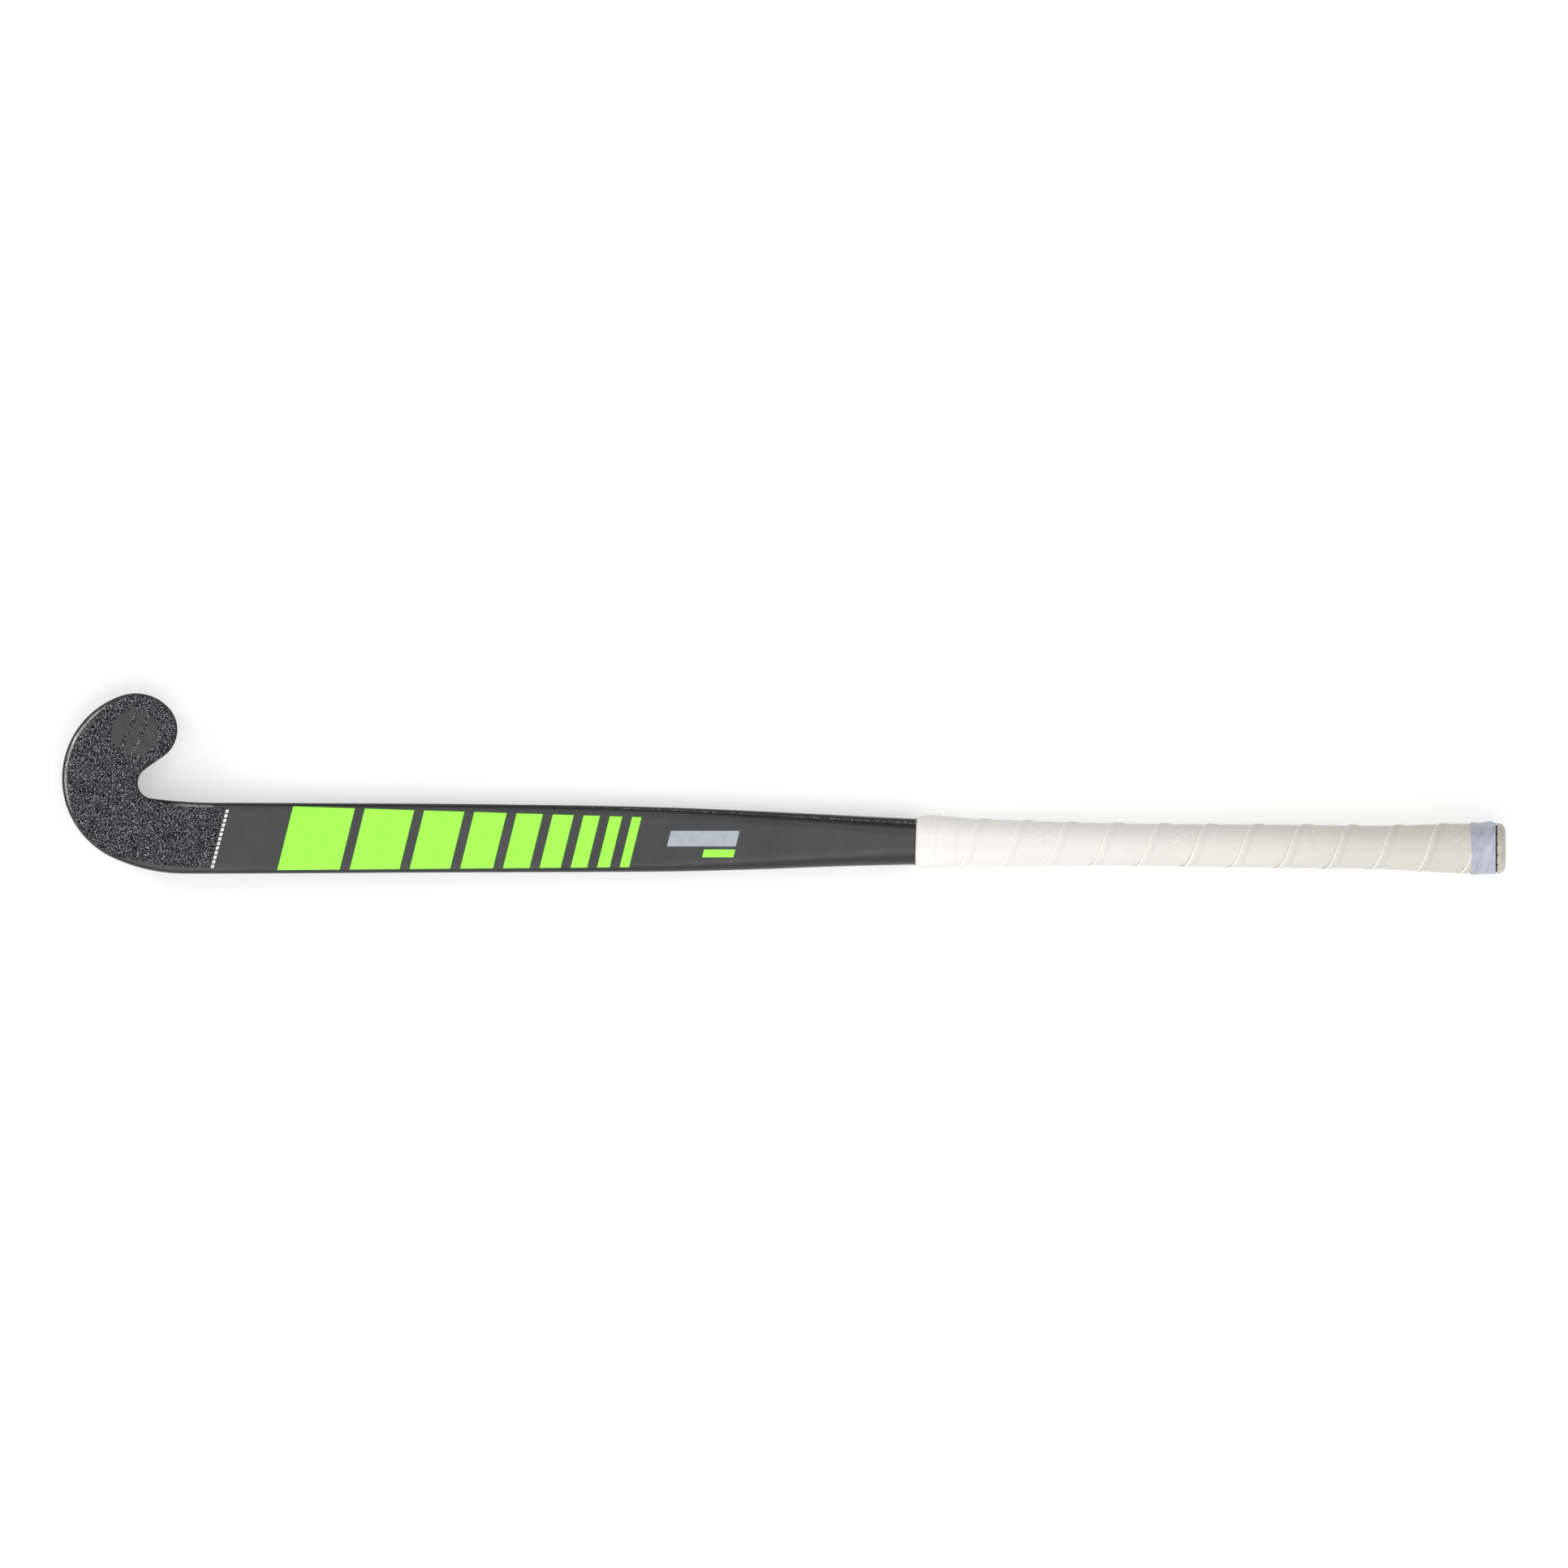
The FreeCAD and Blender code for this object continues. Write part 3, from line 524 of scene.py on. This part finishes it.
def build_shell():
    loops = []
    for s in np.arange(SHELL_END, HEAD_END, -4.0):
        middle, wide, thick, face_r, back_r = section(s)[0]
        o, i = np.array([s, middle - wide / 2]), np.array([s, middle + wide / 2])
        loops.append(section_loop(o, np.array([0, 1.0]), i, np.array([0, -1.0]), thick, face_r, back_r))
    shaft_loops = len(loops)
    for o, n_o, i, n_i in zip(*head_pairs(190)):
        loops.append(section_loop(o, n_o, i, n_i, HEAD_THICK, FACE_EDGE, BACK_EDGE))
    plan = np.array([loop[0] for loop in loops])
    height = np.array([loop[1] for loop in loops])
    turned = np.array([loop[2] for loop in loops])
    points = bend(plan[..., 0], plan[..., 1], height)
    rows, columns = height.shape
    faces = [list(f) for f in grid_faces(rows, columns, wrap=True)]
    faces.append(list(range(columns)))
    middle_y = section(np.clip(plan[..., 0], HEAD_END, SHELL_END).ravel())[:, 0].reshape(rows, columns)
    toe_side = np.where((plan[..., 1] > middle_y) & (np.arange(rows)[:, None] < shaft_loops), 1.0, 0.0)
    far = np.clip((plan[..., 0] - 300) / 40, 0, 1)
    # below zero on the head, down to -1 where its edge gets a painted highlight: round the front, and over
    # the throat
    head = 0.5 * np.clip((112 - plan[..., 0]) / 10, 0, 1)
    distance = np.zeros(rows)
    distance[shaft_loops:] = np.linspace(0, OUTER_KNOTS[-1], rows - shaft_loops)
    front = smooth((distance - 95) / 30) * smooth((205 - distance) / 25) * 0.5
    over = smooth((distance - 1) / 5) * smooth((40 - distance) / 15) * 0.32
    outer_half = np.arange(columns) < OUTER_COLUMNS
    head = head + np.where(outer_half[None, :], front[:, None], over[:, None])
    uv = np.stack([turned, toe_side * far - head], axis=-1).reshape(-1, 2)
    points = points.reshape(-1, 3)
    shell = make_mesh("stick_shell", points, faces, LAMINATE, "laminate", ["composite_shell"], uv)
    # the last loop folds shut along the tip of the toe
    work = bmesh.new()
    work.from_mesh(shell.data)
    bmesh.ops.remove_doubles(work, verts=work.verts, dist=1e-6)
    bmesh.ops.dissolve_degenerate(work, edges=work.edges, dist=1e-7)
    bmesh.ops.recalc_face_normals(work, faces=work.faces)
    # faces turned from the face, except on the heel side, get the darker, duller copy: painted shade on the
    # toe side, the back and round the head
    for face in work.faces:
        up, across = face.normal.z, face.normal.y
        face.material_index = 1 if up < 0.7 and across > -0.45 * math.hypot(face.normal.x, across) else 0
    work.to_mesh(shell.data)
    work.free()
    shell.data.materials.append(SHADED_LAMINATE)


build_shell()


# Film on the face of the shaft.

FACE_MIDDLE, BARS_START, BAR_GAP = 22.8, 138.0, 6.5
BAR_WIDTHS = (40.0, 32.0, 26.0, 21.0, 17.0, 13.5, 10.5, 8.0, 6.0)


def face_surface(along, y, lift):
    """Points on the face of the shaft or head at a plan position, raised by lift."""
    values = section(np.ravel(along))
    middle, wide, face_r = (values[:, k].reshape(np.shape(along)) for k in (0, 1, 3))
    over = np.abs(y - middle) - (wide / 2 - face_r)
    over = np.clip(over, 0, face_r * 0.98)
    drop = face_r - np.sqrt(face_r**2 - over**2)
    tilt = over / face_r
    side = np.sign(y - middle)
    return bend(along, y + side * tilt * lift, -drop + np.sqrt(1 - tilt**2) * lift)


def film(corners, lift, steps=(10, 24), sunk=0.12):
    """A closed patch on four plan corners: low left, low right, high right, high left."""
    a, b, c, d = (np.array(p, float) for p in corners)
    s = np.linspace(0, 1, steps[0])[None, :, None]
    t = np.linspace(0, 1, steps[1])[:, None, None]
    plan = (a * (1 - s) + b * s) * (1 - t) + (d * (1 - s) + c * s) * t
    top = face_surface(plan[..., 0], plan[..., 1], lift)
    return slab_mesh(top, face_surface(plan[..., 0], plan[..., 1], lift - sunk))


def tapered(x, wide, grow=0.0):
    """A leaning bar, drawn in with the taper of the shaft, and grown on every side."""
    corners = []
    ends = (x, -grow), (x + wide, grow)
    for (at, out), highest in zip((*ends, *ends[::-1]), (False, False, True, True)):
        low = 2.4 + 0.008 * (at - BARS_START) - grow
        high = 43.2 - 0.0308 * (at - BARS_START) + grow
        slide = (high - low - grow) * LEAN if highest else -grow * LEAN
        corners.append((at + out + slide, high if highest else low))
    return corners


def build_graphic():
    fills, lines = [], []
    bar_x = BARS_START
    for wide in BAR_WIDTHS:
        steps = (max(3, int(wide / 3)), 24)
        fills.append(film(tapered(bar_x, wide), 0.14, steps))
        lines.append(film(tapered(bar_x, wide, 0.5), 0.07, steps))
        bar_x += wide + BAR_GAP
    make_mesh("shaft_bars", *join_parts(fills), LIME, "lime_print", ["shaft_graphic"], sharp=40)
    make_mesh("shaft_bar_keylines", *join_parts(lines), LIME_EDGE, "lime_print", sharp=40)


build_graphic()


# The grit coating on the head: a closed skin that follows the ladder of sections round the hook.


def build_coating():
    rng = np.random.default_rng(11)
    rows, columns = ((520, 110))
    o, n_o, i, n_i = head_pairs(rows)
    # along the heel and round the front the coating stops shorter of the edge than elsewhere
    distance = np.linspace(0, OUTER_KNOTS[-1], rows)
    heel = 1 / (1 + np.exp((distance - 62) / 6))
    front = smooth((distance - 95) / 30) * smooth((205 - distance) / 25)
    inset_o = 1.0 + 3.4 * heel + 2.1 * front
    inset_i = 1.0 + 2.2 / (1 + np.exp((distance - 38) / 4))
    start = o + n_o * inset_o[:, None]
    finish = i + n_i * inset_i[:, None]
    share = np.linspace(0, 1, columns)[None, :, None]
    plan = start[:, None] * (1 - share) + finish[:, None] * share
    # the open end leans with the other graphics
    fade = np.clip(1 - distance / 26, 0, 1)[:, None]
    slant = 1.05 * LEAN * (plan[..., 1] - FACE_MIDDLE) * fade
    plan[..., 0] += slant - 0.7 * fade
    near_o = np.linalg.norm(plan - o[:, None], axis=-1)
    near_i = np.linalg.norm(plan - i[:, None], axis=-1)
    near = np.minimum(near_o, near_i)
    inset = np.clip(near, 0.02, FACE_EDGE)
    drop = FACE_EDGE - np.sqrt(FACE_EDGE**2 - (FACE_EDGE - inset) ** 2)
    edge = np.minimum.reduce([
        np.broadcast_to(np.arange(columns), (rows, columns)),
        np.broadcast_to(np.arange(columns)[::-1], (rows, columns)),
        np.broadcast_to(np.arange(rows)[:, None], (rows, columns)),
    ])
    feather = np.clip(edge / 2.0, 0, 1)
    grains = rng.normal(0, 0.045, (rows, columns)) + 0.03 * np.sin(rng.uniform(0, 6.3, (rows, columns)))
    lift = 0.06 + feather * (0.22 + np.clip(grains, -0.09, 0.14))
    top = bend(plan[..., 0], plan[..., 1], -drop + lift)
    bottom = bend(plan[..., 0], plan[..., 1], -drop - 0.12)
    make_mesh("head_grit", *slab_mesh(top, bottom), GRIT, "grit", ["grit_coating"])


build_coating()


def build_badge():
    """A smooth disc in the grit, split by two leaning gaps."""
    cx, cy, radius, lean, gap = 46.5, 90.5, 15.0, math.tan(math.radians(24)), 2.6
    parts = []
    rows, columns = 40, 16
    for low, high in ((-radius, -4.3 - gap / 2), (-4.3 + gap / 2, 4.3 - gap / 2), (4.3 + gap / 2, radius)):
        v = np.linspace(-radius * 0.999, radius * 0.999, rows)[:, None]
        half = np.sqrt(radius**2 - v**2)
        left = np.clip(np.maximum(low + v * lean, -half), -half, half)
        right = np.clip(np.minimum(high + v * lean, half), -half, half)
        if low == -radius:
            left = -half
        if high == radius:
            right = half
        right = np.maximum(right, left)
        wide = (right - left)[:, 0]
        keep = wide > 0.25
        share = np.linspace(0, 1, columns)[None, :]
        x = (left + (right - left) * share)[keep]
        y = np.broadcast_to(v, (rows, columns))[keep]
        rim = np.minimum(share, 1 - share) * wide[keep][:, None]
        top = bend(cx + x, cy + y, 0.42 - 0.1 * np.exp(-rim / 0.25))
        parts.append(slab_mesh(top, bend(cx + x, cy + y, np.full(x.shape, 0.1))))
    make_mesh("toe_disc", *join_parts(parts), BADGE, "badge", ["toe_badge"], sharp=50)


build_badge()


# The handle's surface: a table of points round the section, at equal steps of length.

TABLE_FROM, TABLE_STEP, AROUND = 540.0, 2.0, 360


def build_table():
    alongs = np.arange(TABLE_FROM, CAP_END + 4, TABLE_STEP)
    spots, angles = [], []
    for middle, wide, thick, face_r, back_r in section(alongs):
        path, facing = [], []
        left, right = middle - wide / 2, middle + wide / 2
        for x, y, r, first in (
            (left + face_r, -face_r, face_r, 180), (right - face_r, -face_r, face_r, 90),
            (right - back_r, -thick + back_r, back_r, 0),
            (left + back_r, -thick + back_r, back_r, -90),
        ):
            for angle in np.linspace(first, first - 90, 40):
                a = math.radians(angle)
                path.append((x + r * math.cos(a), y + r * math.sin(a)))
                facing.append(angle)
        path.append(path[0])
        facing.append(-180)
        path, facing = np.array(path), np.array(facing, float)
        length = np.concatenate([[0], np.cumsum(np.linalg.norm(np.diff(path, axis=0), axis=1))])
        # start half way up the heel side
        side = np.interp((thick - face_r - back_r) / -2 - face_r, [-thick + back_r, -face_r],
                         [length[-2], length[-1]])
        want = (side + np.linspace(0, length[-1], AROUND, endpoint=False)) % length[-1]
        spots.append(np.stack(
            [np.interp(want, length, path[:, 0]), np.interp(want, length, path[:, 1])], -1))
        angles.append(np.interp(want, length, facing))
    angles = np.array(angles)
    normal = np.stack([np.cos(np.radians(angles)), np.sin(np.radians(angles))], axis=-1)
    return np.array(spots), normal


SPOTS, NORMALS = build_table()


def handle(along, part, lift):
    """Points on the handle: distance along, share of the way round from the heel side over the face, and
    height over the laminate."""
    along, part, lift = np.broadcast_arrays(*(np.asarray(v, float) for v in (along, part, lift)))
    row = np.clip((along - TABLE_FROM) / TABLE_STEP, 0, len(SPOTS) - 1.001)
    column = (part % 1.0) * AROUND
    r, c = row.astype(int), column.astype(int) % AROUND
    fr, fc = (row - r)[..., None], (column - np.floor(column))[..., None]
    after = (c + 1) % AROUND

    def look(table):
        return (table[r, c] * (1 - fr) * (1 - fc) + table[r + 1, c] * fr * (1 - fc)
                + table[r, after] * (1 - fr) * fc + table[r + 1, after] * fr * fc)

    spot = look(SPOTS) + look(NORMALS) * lift[..., None]
    return bend(along, spot[..., 0], spot[..., 1])


def tube(profile, columns, shape):
    """A closed ring round the handle. profile lists (along, lift) round the ring's cross-section, and
    shape(along, part, lift) changes them for each point."""
    part = np.linspace(0, 1, columns, endpoint=False)[None, :]
    along = np.array([p[0] for p in profile])[:, None] + 0 * part
    lift = np.array([p[1] for p in profile])[:, None] + 0 * part
    part = part + 0 * along
    along, lift = shape(along, part, lift)
    points = handle(along, part, lift)
    faces = grid_faces(len(profile), columns, wrap=True, flip=True)
    count = len(profile) * columns
    k = np.arange(columns)
    after = (k + 1) % columns
    last = count - columns
    close = np.stack([last + k, k, after, last + after], axis=-1)
    uv = np.stack([part.ravel(), (along.ravel() - WRAP_START) / (TAPE_END - WRAP_START)], axis=-1)
    return points.reshape(-1, 3), np.concatenate([faces, close]), uv


# The grip: one strip wound on in a spiral from the collar to the butt, each turn lapping over the last.

STRIP_WIDTH, OVERLAP, LAP = 34.0, 3.4, 29.3
# where the strip is first seen and where it ends under the tape, and the distance round the handle
STRIP_START, STRIP_END, GIRTH = 551.0, 907.0, 88.0
# where the leading edge of each turn crosses the heel side; it was wound by hand
TURNS = [573.8, 600.2, 628.5, 658.2, 687.4, 718.0, 747.8, 778.0, 809.3, 838.4, 867.2, 895.8]
# the turns whose pressed pattern comes up on the face
STAMPED = [1.22, 4.24, 7.27, 10.34, 11.17]


def strip_height(u):
    """Height of the strip's outer face over the laminate, across its width from its leading edge."""
    raised = 2.15 - 0.75 * smooth((u - OVERLAP + 0.4) / 3.2)
    crown = 0.28 * np.sin(np.pi * np.clip((u - OVERLAP - 1) / (LAP - OVERLAP - 1), 0, 1)) ** 0.8
    tucked = -0.25 * smooth((u - LAP + 1.0) / 1.6)
    hem = 0.10 * np.exp(-((u - 1.1) / 0.7) ** 2)
    return raised + crown + tucked + hem


def emboss(u, tau):
    """Zigzags pressed into the strip in a few places."""
    depth = np.zeros_like(u)
    for place in STAMPED:
        for k in range(5):
            zig = np.abs((u + 3.1 * k) % 9.0 - 4.5)
            line = (tau - place) * GIRTH + 8.0 - 4.4 * k - 0.9 * zig
            stroke = np.exp(-(line / 0.45) ** 2)
            inside = smooth((u - 9.0 - 0.8 * (k % 2)) / 0.5) * smooth((25.5 - 1.5 * (k % 3) - u) / 0.5)
            depth = np.maximum(depth, stroke * inside)
    return -0.3 * depth


def build_grip():
    rng = np.random.default_rng(5)
    per_turn = 220
    tau = np.arange(-1.2, 11.75, 1.0 / per_turn)
    width = STRIP_WIDTH
    inner = np.linspace(0.45, width - 0.3, 70)
    # cross-section: up round the leading edge, over the outer face, down the far edge and back underneath
    lead = [(0.3, -0.85), (0.08, -0.62), (0.0, -0.36), (0.08, -0.13), (0.22, -0.03)]
    far = [(width - 0.08, -0.2), (width, -0.5), (width - 0.1, -0.8)]
    under = np.linspace(width - 1.5, 1.2, 9)
    u = np.concatenate([[p[0] for p in lead], inner, [p[0] for p in far], under])
    down = np.concatenate([[p[1] for p in lead], np.zeros(len(inner)), [p[1] for p in far],
                           np.full(len(under), -0.85)])
    on_top = np.concatenate([np.zeros(len(lead)), np.ones(len(inner)), np.zeros(len(far) + len(under))])
    tau, u2 = np.meshgrid(tau, u, indexing="ij")
    down, on_top = np.broadcast_to(down, tau.shape), np.broadcast_to(on_top, tau.shape)
    whole = np.arange(-2, 14)
    laps = [TURNS[0] - 2 * LAP, TURNS[0] - LAP, *TURNS, TURNS[-1] + LAP, TURNS[-1] + 2 * LAP]
    edge = np.interp(tau, whole, laps)
    soft = sum(np.interp(tau + d, whole, laps) for d in (-0.3, -0.15, 0.15, 0.3))
    # the seams sweep round the sides faster than over the face, and lean further there than on the back
    turn = 2 * np.pi * tau
    along = (edge + soft) / 5 + 0.9 * np.sin(2 * turn) + 1.4 - 2.2 * np.cos(turn) + 1.1 * np.sin(turn) + u2
    length = tau * GIRTH
    lift = strip_height(u2) + down
    pull = 0.05 * np.sin(length / 9.0 + u2 * 0.45) + 0.035 * np.sin(length / 3.7 - u2 * 0.8 + 1.0)
    ripple = 0.05 * np.exp(-((u2 - OVERLAP - 2.8) / 1.6) ** 2) * np.sin(length / 2.1)
    lift = lift + on_top * (emboss(u2, tau) + pull * 0.5 + ripple * 0.6)
    lift = lift + on_top * rng.normal(0, 0.006, lift.shape)
    points = handle(along, tau, lift)
    rows, columns = tau.shape
    faces = grid_faces(rows, columns, wrap=True, flip=True)
    reach = along.ravel()[faces]
    faces = faces[(reach < STRIP_END).any(axis=1) & (reach > STRIP_START).any(axis=1)]
    used = np.unique(faces)
    lookup = np.full(rows * columns, -1)
    lookup[used] = np.arange(len(used))
    share = (along - WRAP_START) / (TAPE_END - WRAP_START)
    uv = np.stack([u2 / width, share], axis=-1).reshape(-1, 2)[used]
    make_mesh("grip_strip", points.reshape(-1, 3)[used], lookup[faces], GRIP, "grip", ["grip_wrap"], uv)


build_grip()


COLLAR_WIDE = 31.0


def slack(part):
    """How far the collar's near edge slants along the stick, round the handle."""
    return 1.6 * (0.5 - np.abs((part % 1.0) - 0.5) * 2) * 0.9


def build_collar():
    """The start of the strip, folded under and wound round once: a soft thick band with slack folds."""
    across = np.linspace(0, 1, 60)
    profile = [(WRAP_START - 0.2, 0.45)]
    for t in across:
        rise = 1.5 * (1 - (1 - min(t / 0.14, 1)) ** 3)
        swell = 0.75 * math.sin(math.pi * min(t / 0.92, 1) ** 0.8)
        fall = -0.75 * smooth(np.array((t - 0.78) / 0.22))
        profile.append((WRAP_START + COLLAR_WIDE * t, 0.5 + rise + swell + float(fall)))
    profile += [(WRAP_START + COLLAR_WIDE, 0.6), (WRAP_START + 10, 0.45)]

    def shape(along, part, lift):
        # the band's far edge leans with the first seam, and its folds lean the same way
        t = (along - WRAP_START) / COLLAR_WIDE
        lean = 13.0 * np.where(part < 0.5, part * 2 - 0.5, 1.5 - part * 2) * 0.55
        moved = along + slack(part) * np.clip(1 - t, 0, 1) + np.clip(t, 0, 1) ** 1.5 * lean * 0.35
        fold = 0.0
        for place, size, wide in (
            (4.5, 0.12, 0.6), (7.5, 0.22, 0.5), (9.0, -0.15, 0.7), (12.2, 0.34, 0.8),
            (14.5, -0.22, 1.2), (19.5, 0.14, 0.5), (21.0, -0.1, 0.8),
        ):
            line = along - WRAP_START - place - lean * 0.55
            fold = fold + size * np.exp(-(line / wide) ** 2) * np.clip(lift - 1.2, 0, 1)
        return moved, lift + fold

    points, faces, uv = tube(profile, 220, shape)
    uv = np.stack([0.5 + 0 * uv[:, 0], uv[:, 1]], axis=-1)
    make_mesh("grip_foot", points, faces, GRIP, "grip", ["grip_collar"], uv)

    def slant(along, part, lift):
        return along + slack(part), lift

    ring = [(WRAP_START + step, lift) for step, lift in (
        (-0.9, 0.02), (-0.8, 0.22), (-0.2, 0.5), (0.8, 0.5), (0.8, -0.1), (-0.9, -0.1))]
    points, faces, uv = tube(ring, 160, slant)
    make_mesh("adhesive_line", points, faces, SEAL, "seal", ["edge_seal"], sharp=60)


build_collar()


def build_tape():
    """Stretched vinyl over the end of the strip, with diagonal creases and a pinched end."""
    across = np.linspace(0, 1, 44)
    wide = TAPE_END - TAPE_START
    profile = [(TAPE_START + wide * t, 2.2 + 0.25 * math.exp(-((t - 0.12) / 0.14) ** 2)) for t in across]
    profile += [(TAPE_END - 0.1, 1.3), (TAPE_START + 0.1, 1.3)]

    def shape(along, part, lift):
        t = np.clip((along - TAPE_START) / wide, 0, 1)
        turn = part * 2 * np.pi
        crease = np.zeros_like(along)
        for place, tilt, size, sharpness in (
            (0.10, 0.20, 0.30, 0.030), (0.24, 0.16, 0.22, 0.022), (0.33, 0.22, 0.26, 0.028),
            (0.52, 0.18, 0.24, 0.030), (0.66, 0.2, 0.2, 0.024), (0.83, 0.17, 0.28, 0.03),
        ):
            line = (part - place - tilt * (t - 0.5) + 0.5) % 1.0 - 0.5
            crease += size * np.exp(-(line / sharpness) ** 2) * (0.4 + 0.6 * t)
        pinch = np.exp(-((((part - 0.49 + 0.5) % 1) - 0.5) / 0.03) ** 2)
        pinch = pinch * smooth((t - 0.45) / 0.3) * (1 - smooth((t - 0.8) / 0.2))
        ripple = 0.05 * np.sin(turn * 9 + t * 7) + 0.03 * np.sin(turn * 17 - t * 11)
        edge = 0.25 * np.sin(turn * 2 + 0.5) + 0.12 * np.sin(turn * 5) + 0.8 * np.sin(turn)
        outer = (lift > 1.5).astype(float)
        return along + edge * (1 - t) + 0.12 * edge * t, lift + outer * (crease + pinch + ripple)

    points, faces, uv = tube(profile, 260, shape)
    across = uv[:, 1] * (TAPE_END - WRAP_START)
    uv = np.stack([uv[:, 0] * GIRTH + 0.3 * across, across - uv[:, 0] * GIRTH * 0.45], axis=-1)
    make_mesh("end_tape", points, faces, TAPE, "tape", ["butt_tape"], uv)


build_tape()


def build_cap():
    """The rubber cap's rim, domed at the end, with a notched groove where the tape stops."""
    columns = 280
    high, edge = 2.2, 5.6
    skirt = 914.0
    rows = [(skirt, 0.1), (skirt, 1.75), (TAPE_END + 0.15, 1.75), (TAPE_END + 0.2, 0.7),
            (TAPE_END + 0.95, 0.7), (TAPE_END + 1.05, high - 0.35), (TAPE_END + 1.2, high - 0.08),
            (TAPE_END + 1.5, high)]
    notched = (4, 5, 6)
    flat = CAP_END - edge
    for angle in np.linspace(9, 80, 16):
        a = math.radians(angle)
        rows.append((flat + edge * math.sin(a), high - edge * (1 - math.cos(a))))
    part = np.linspace(0, 1, columns, endpoint=False)
    rings = []
    for k, (along, lift) in enumerate(rows):
        lifts = np.full(columns, lift)
        alongs = np.full(columns, along)
        if k in notched:
            notch = np.exp(-((((part * 15 + 0.35) % 1) - 0.5) / 0.075) ** 2)
            alongs = alongs + 0.75 * notch
            lifts = lifts - 0.5 * notch * (lift > 1.5)
        rings.append(handle(alongs, part, lifts))
    # the end face: rings that shrink to the middle and rise in a low dome
    last_along, last_lift = rows[-1]
    last = handle(np.full(columns, last_along), part, np.full(columns, last_lift))
    middle = last.mean(axis=0)
    slope = (BOW_END - HEAD_END) / BOW_RADIUS
    outward = np.array([math.cos(slope), 0, math.sin(slope)])
    for share in (0.82, 0.62, 0.42, 0.22, 0.06):
        rise = 0.55 * (1 - share**2) * 0.25
        rings.append(middle + (last - middle) * share + outward * rise)
    points = np.array(rings)
    count = len(points)
    faces = [list(f) for f in grid_faces(count, columns, wrap=True, flip=True)]
    faces.append(list(range((count - 1) * columns, count * columns))[::-1])
    faces.append(list(range(columns)))
    cap = make_mesh("end_cap", points.reshape(-1, 3), faces, RUBBER, "cap_rubber", ["butt_cap"], sharp=35)
    cap.data.materials.append(GROOVE_SHADE)
    # the groove's own walls and floor, painted near-black as shade in the recess
    for k in range(2 * columns, 5 * columns):
        cap.data.polygons[k].material_index = 1


build_cap()


# CAD nodes that keep their own shape.

KEPT = {
    "edge_line": WHITE, "series_mark": SILVER, "size_mark": LIME,
    "heel_side_tube": plain_material("raw_carbon", (0.03, 0.03, 0.03), 0.5, 600),
    "toe_side_tube": plain_material("raw_carbon_2", (0.03, 0.03, 0.03), 0.5, 600),
    "head_core": plain_material("head_foam", (0.75, 0.68, 0.5), 0.8, 900),
    "heel_strip": plain_material("aramid_weave", (0.75, 0.6, 0.2), 0.6, 800),
    "heel_side_foam": plain_material("light_foam", (0.85, 0.83, 0.75), 0.85, 900),
    "toe_side_foam": plain_material("light_foam_2", (0.85, 0.83, 0.75), 0.85, 900),
    "butt_plug": plain_material("plug_plastic", (0.2, 0.2, 0.2), 0.5, 200),
    "grip_underlay": plain_material("felt_underlay", (0.55, 0.55, 0.52), 0.8, 900),
}
for name, material in KEPT.items():
    node = frame["nodes"][name]
    node.data.materials.clear()
    node.data.materials.append(material)

# Stage: a pale floor that gives off a little light, a sky brighter from the heel side, and soft lights.

low, high = cad_box
centre = (low + high) / 2


def pale_floor():
    mesh = bpy.data.meshes.new("floor")
    half = 40.0
    corners = [(-half, -half, 0), (half, -half, 0), (half, half, 0), (-half, half, 0)]
    mesh.from_pydata(corners, [], [(0, 1, 2, 3)])
    floor = bpy.data.objects.new("floor", mesh)
    bpy.context.collection.objects.link(floor)
    n = Nodes("floor_paint", (0.7, 0.7, 0.7), 0.9, specular=0.05)
    n.color(n.mix(n.fit(n.noise(3, 2), 0.4, 0.6), (0.7, 0.7, 0.7), (0.71, 0.71, 0.71)))
    n.shader.inputs["Emission Color"].default_value = (1, 1, 1, 1)
    n.shader.inputs["Emission Strength"].default_value = 0.36
    mesh.materials.append(n.material)


pale_floor()


def area(name, place, target, size, power, long=None):
    light = bpy.data.lights.new(name, "AREA")
    light.energy = power
    light.shape = "RECTANGLE"
    light.size = size
    light.size_y = long or size
    lamp = bpy.data.objects.new(name, light)
    bpy.context.collection.objects.link(lamp)
    lamp.location = place
    lamp.rotation_euler = (Vector(target) - Vector(place)).to_track_quat("-Z", "Y").to_euler()


world = bpy.data.worlds.new("sky")
bpy.context.scene.world = world
world.use_nodes = True
background = world.node_tree.nodes["Background"]
aim = world.node_tree.nodes.new("ShaderNodeTexCoord")
turn = world.node_tree.nodes.new("ShaderNodeVectorMath")
turn.operation = "DOT_PRODUCT"
turn.inputs[1].default_value = (0.0, -0.6, 0.8)
fall = world.node_tree.nodes.new("ShaderNodeMapRange")
for socket, value in zip(("From Min", "From Max", "To Min", "To Max"), (-0.02, 0.7, 0.1, 0.93)):
    fall.inputs[socket].default_value = value
world.node_tree.links.new(aim.outputs["Generated"], turn.inputs[0])
world.node_tree.links.new(turn.outputs["Value"], fall.inputs["Value"])
world.node_tree.links.new(fall.outputs["Result"], background.inputs["Strength"])
background.inputs["Color"].default_value = (1, 1, 1, 1)

area("key", (-0.3, -1.3, 3.4), (0, 0, 0), 3.0, 43)
area("fill", (0.4, 1.9, 2.9), (0, 0, 0), 2.0, 18)
area("rim", (-1.75, 0.75, 1.2), (-0.42, 0.02, 0.03), 0.22, 8, 0.8)

camera = bpy.data.cameras.new("camera")
camera.lens = 260
camera.sensor_width = 36
camera.clip_end = 100
eye = bpy.data.objects.new("camera", camera)
bpy.context.collection.objects.link(eye)
frame_width = 1.0077
distance = frame_width * camera.lens / camera.sensor_width
eye.location = (centre.x, centre.y, distance + centre.z)
eye.rotation_euler = (0, 0, 0)
bpy.context.scene.camera = eye
bpy.context.scene.view_settings.view_transform = "Standard"
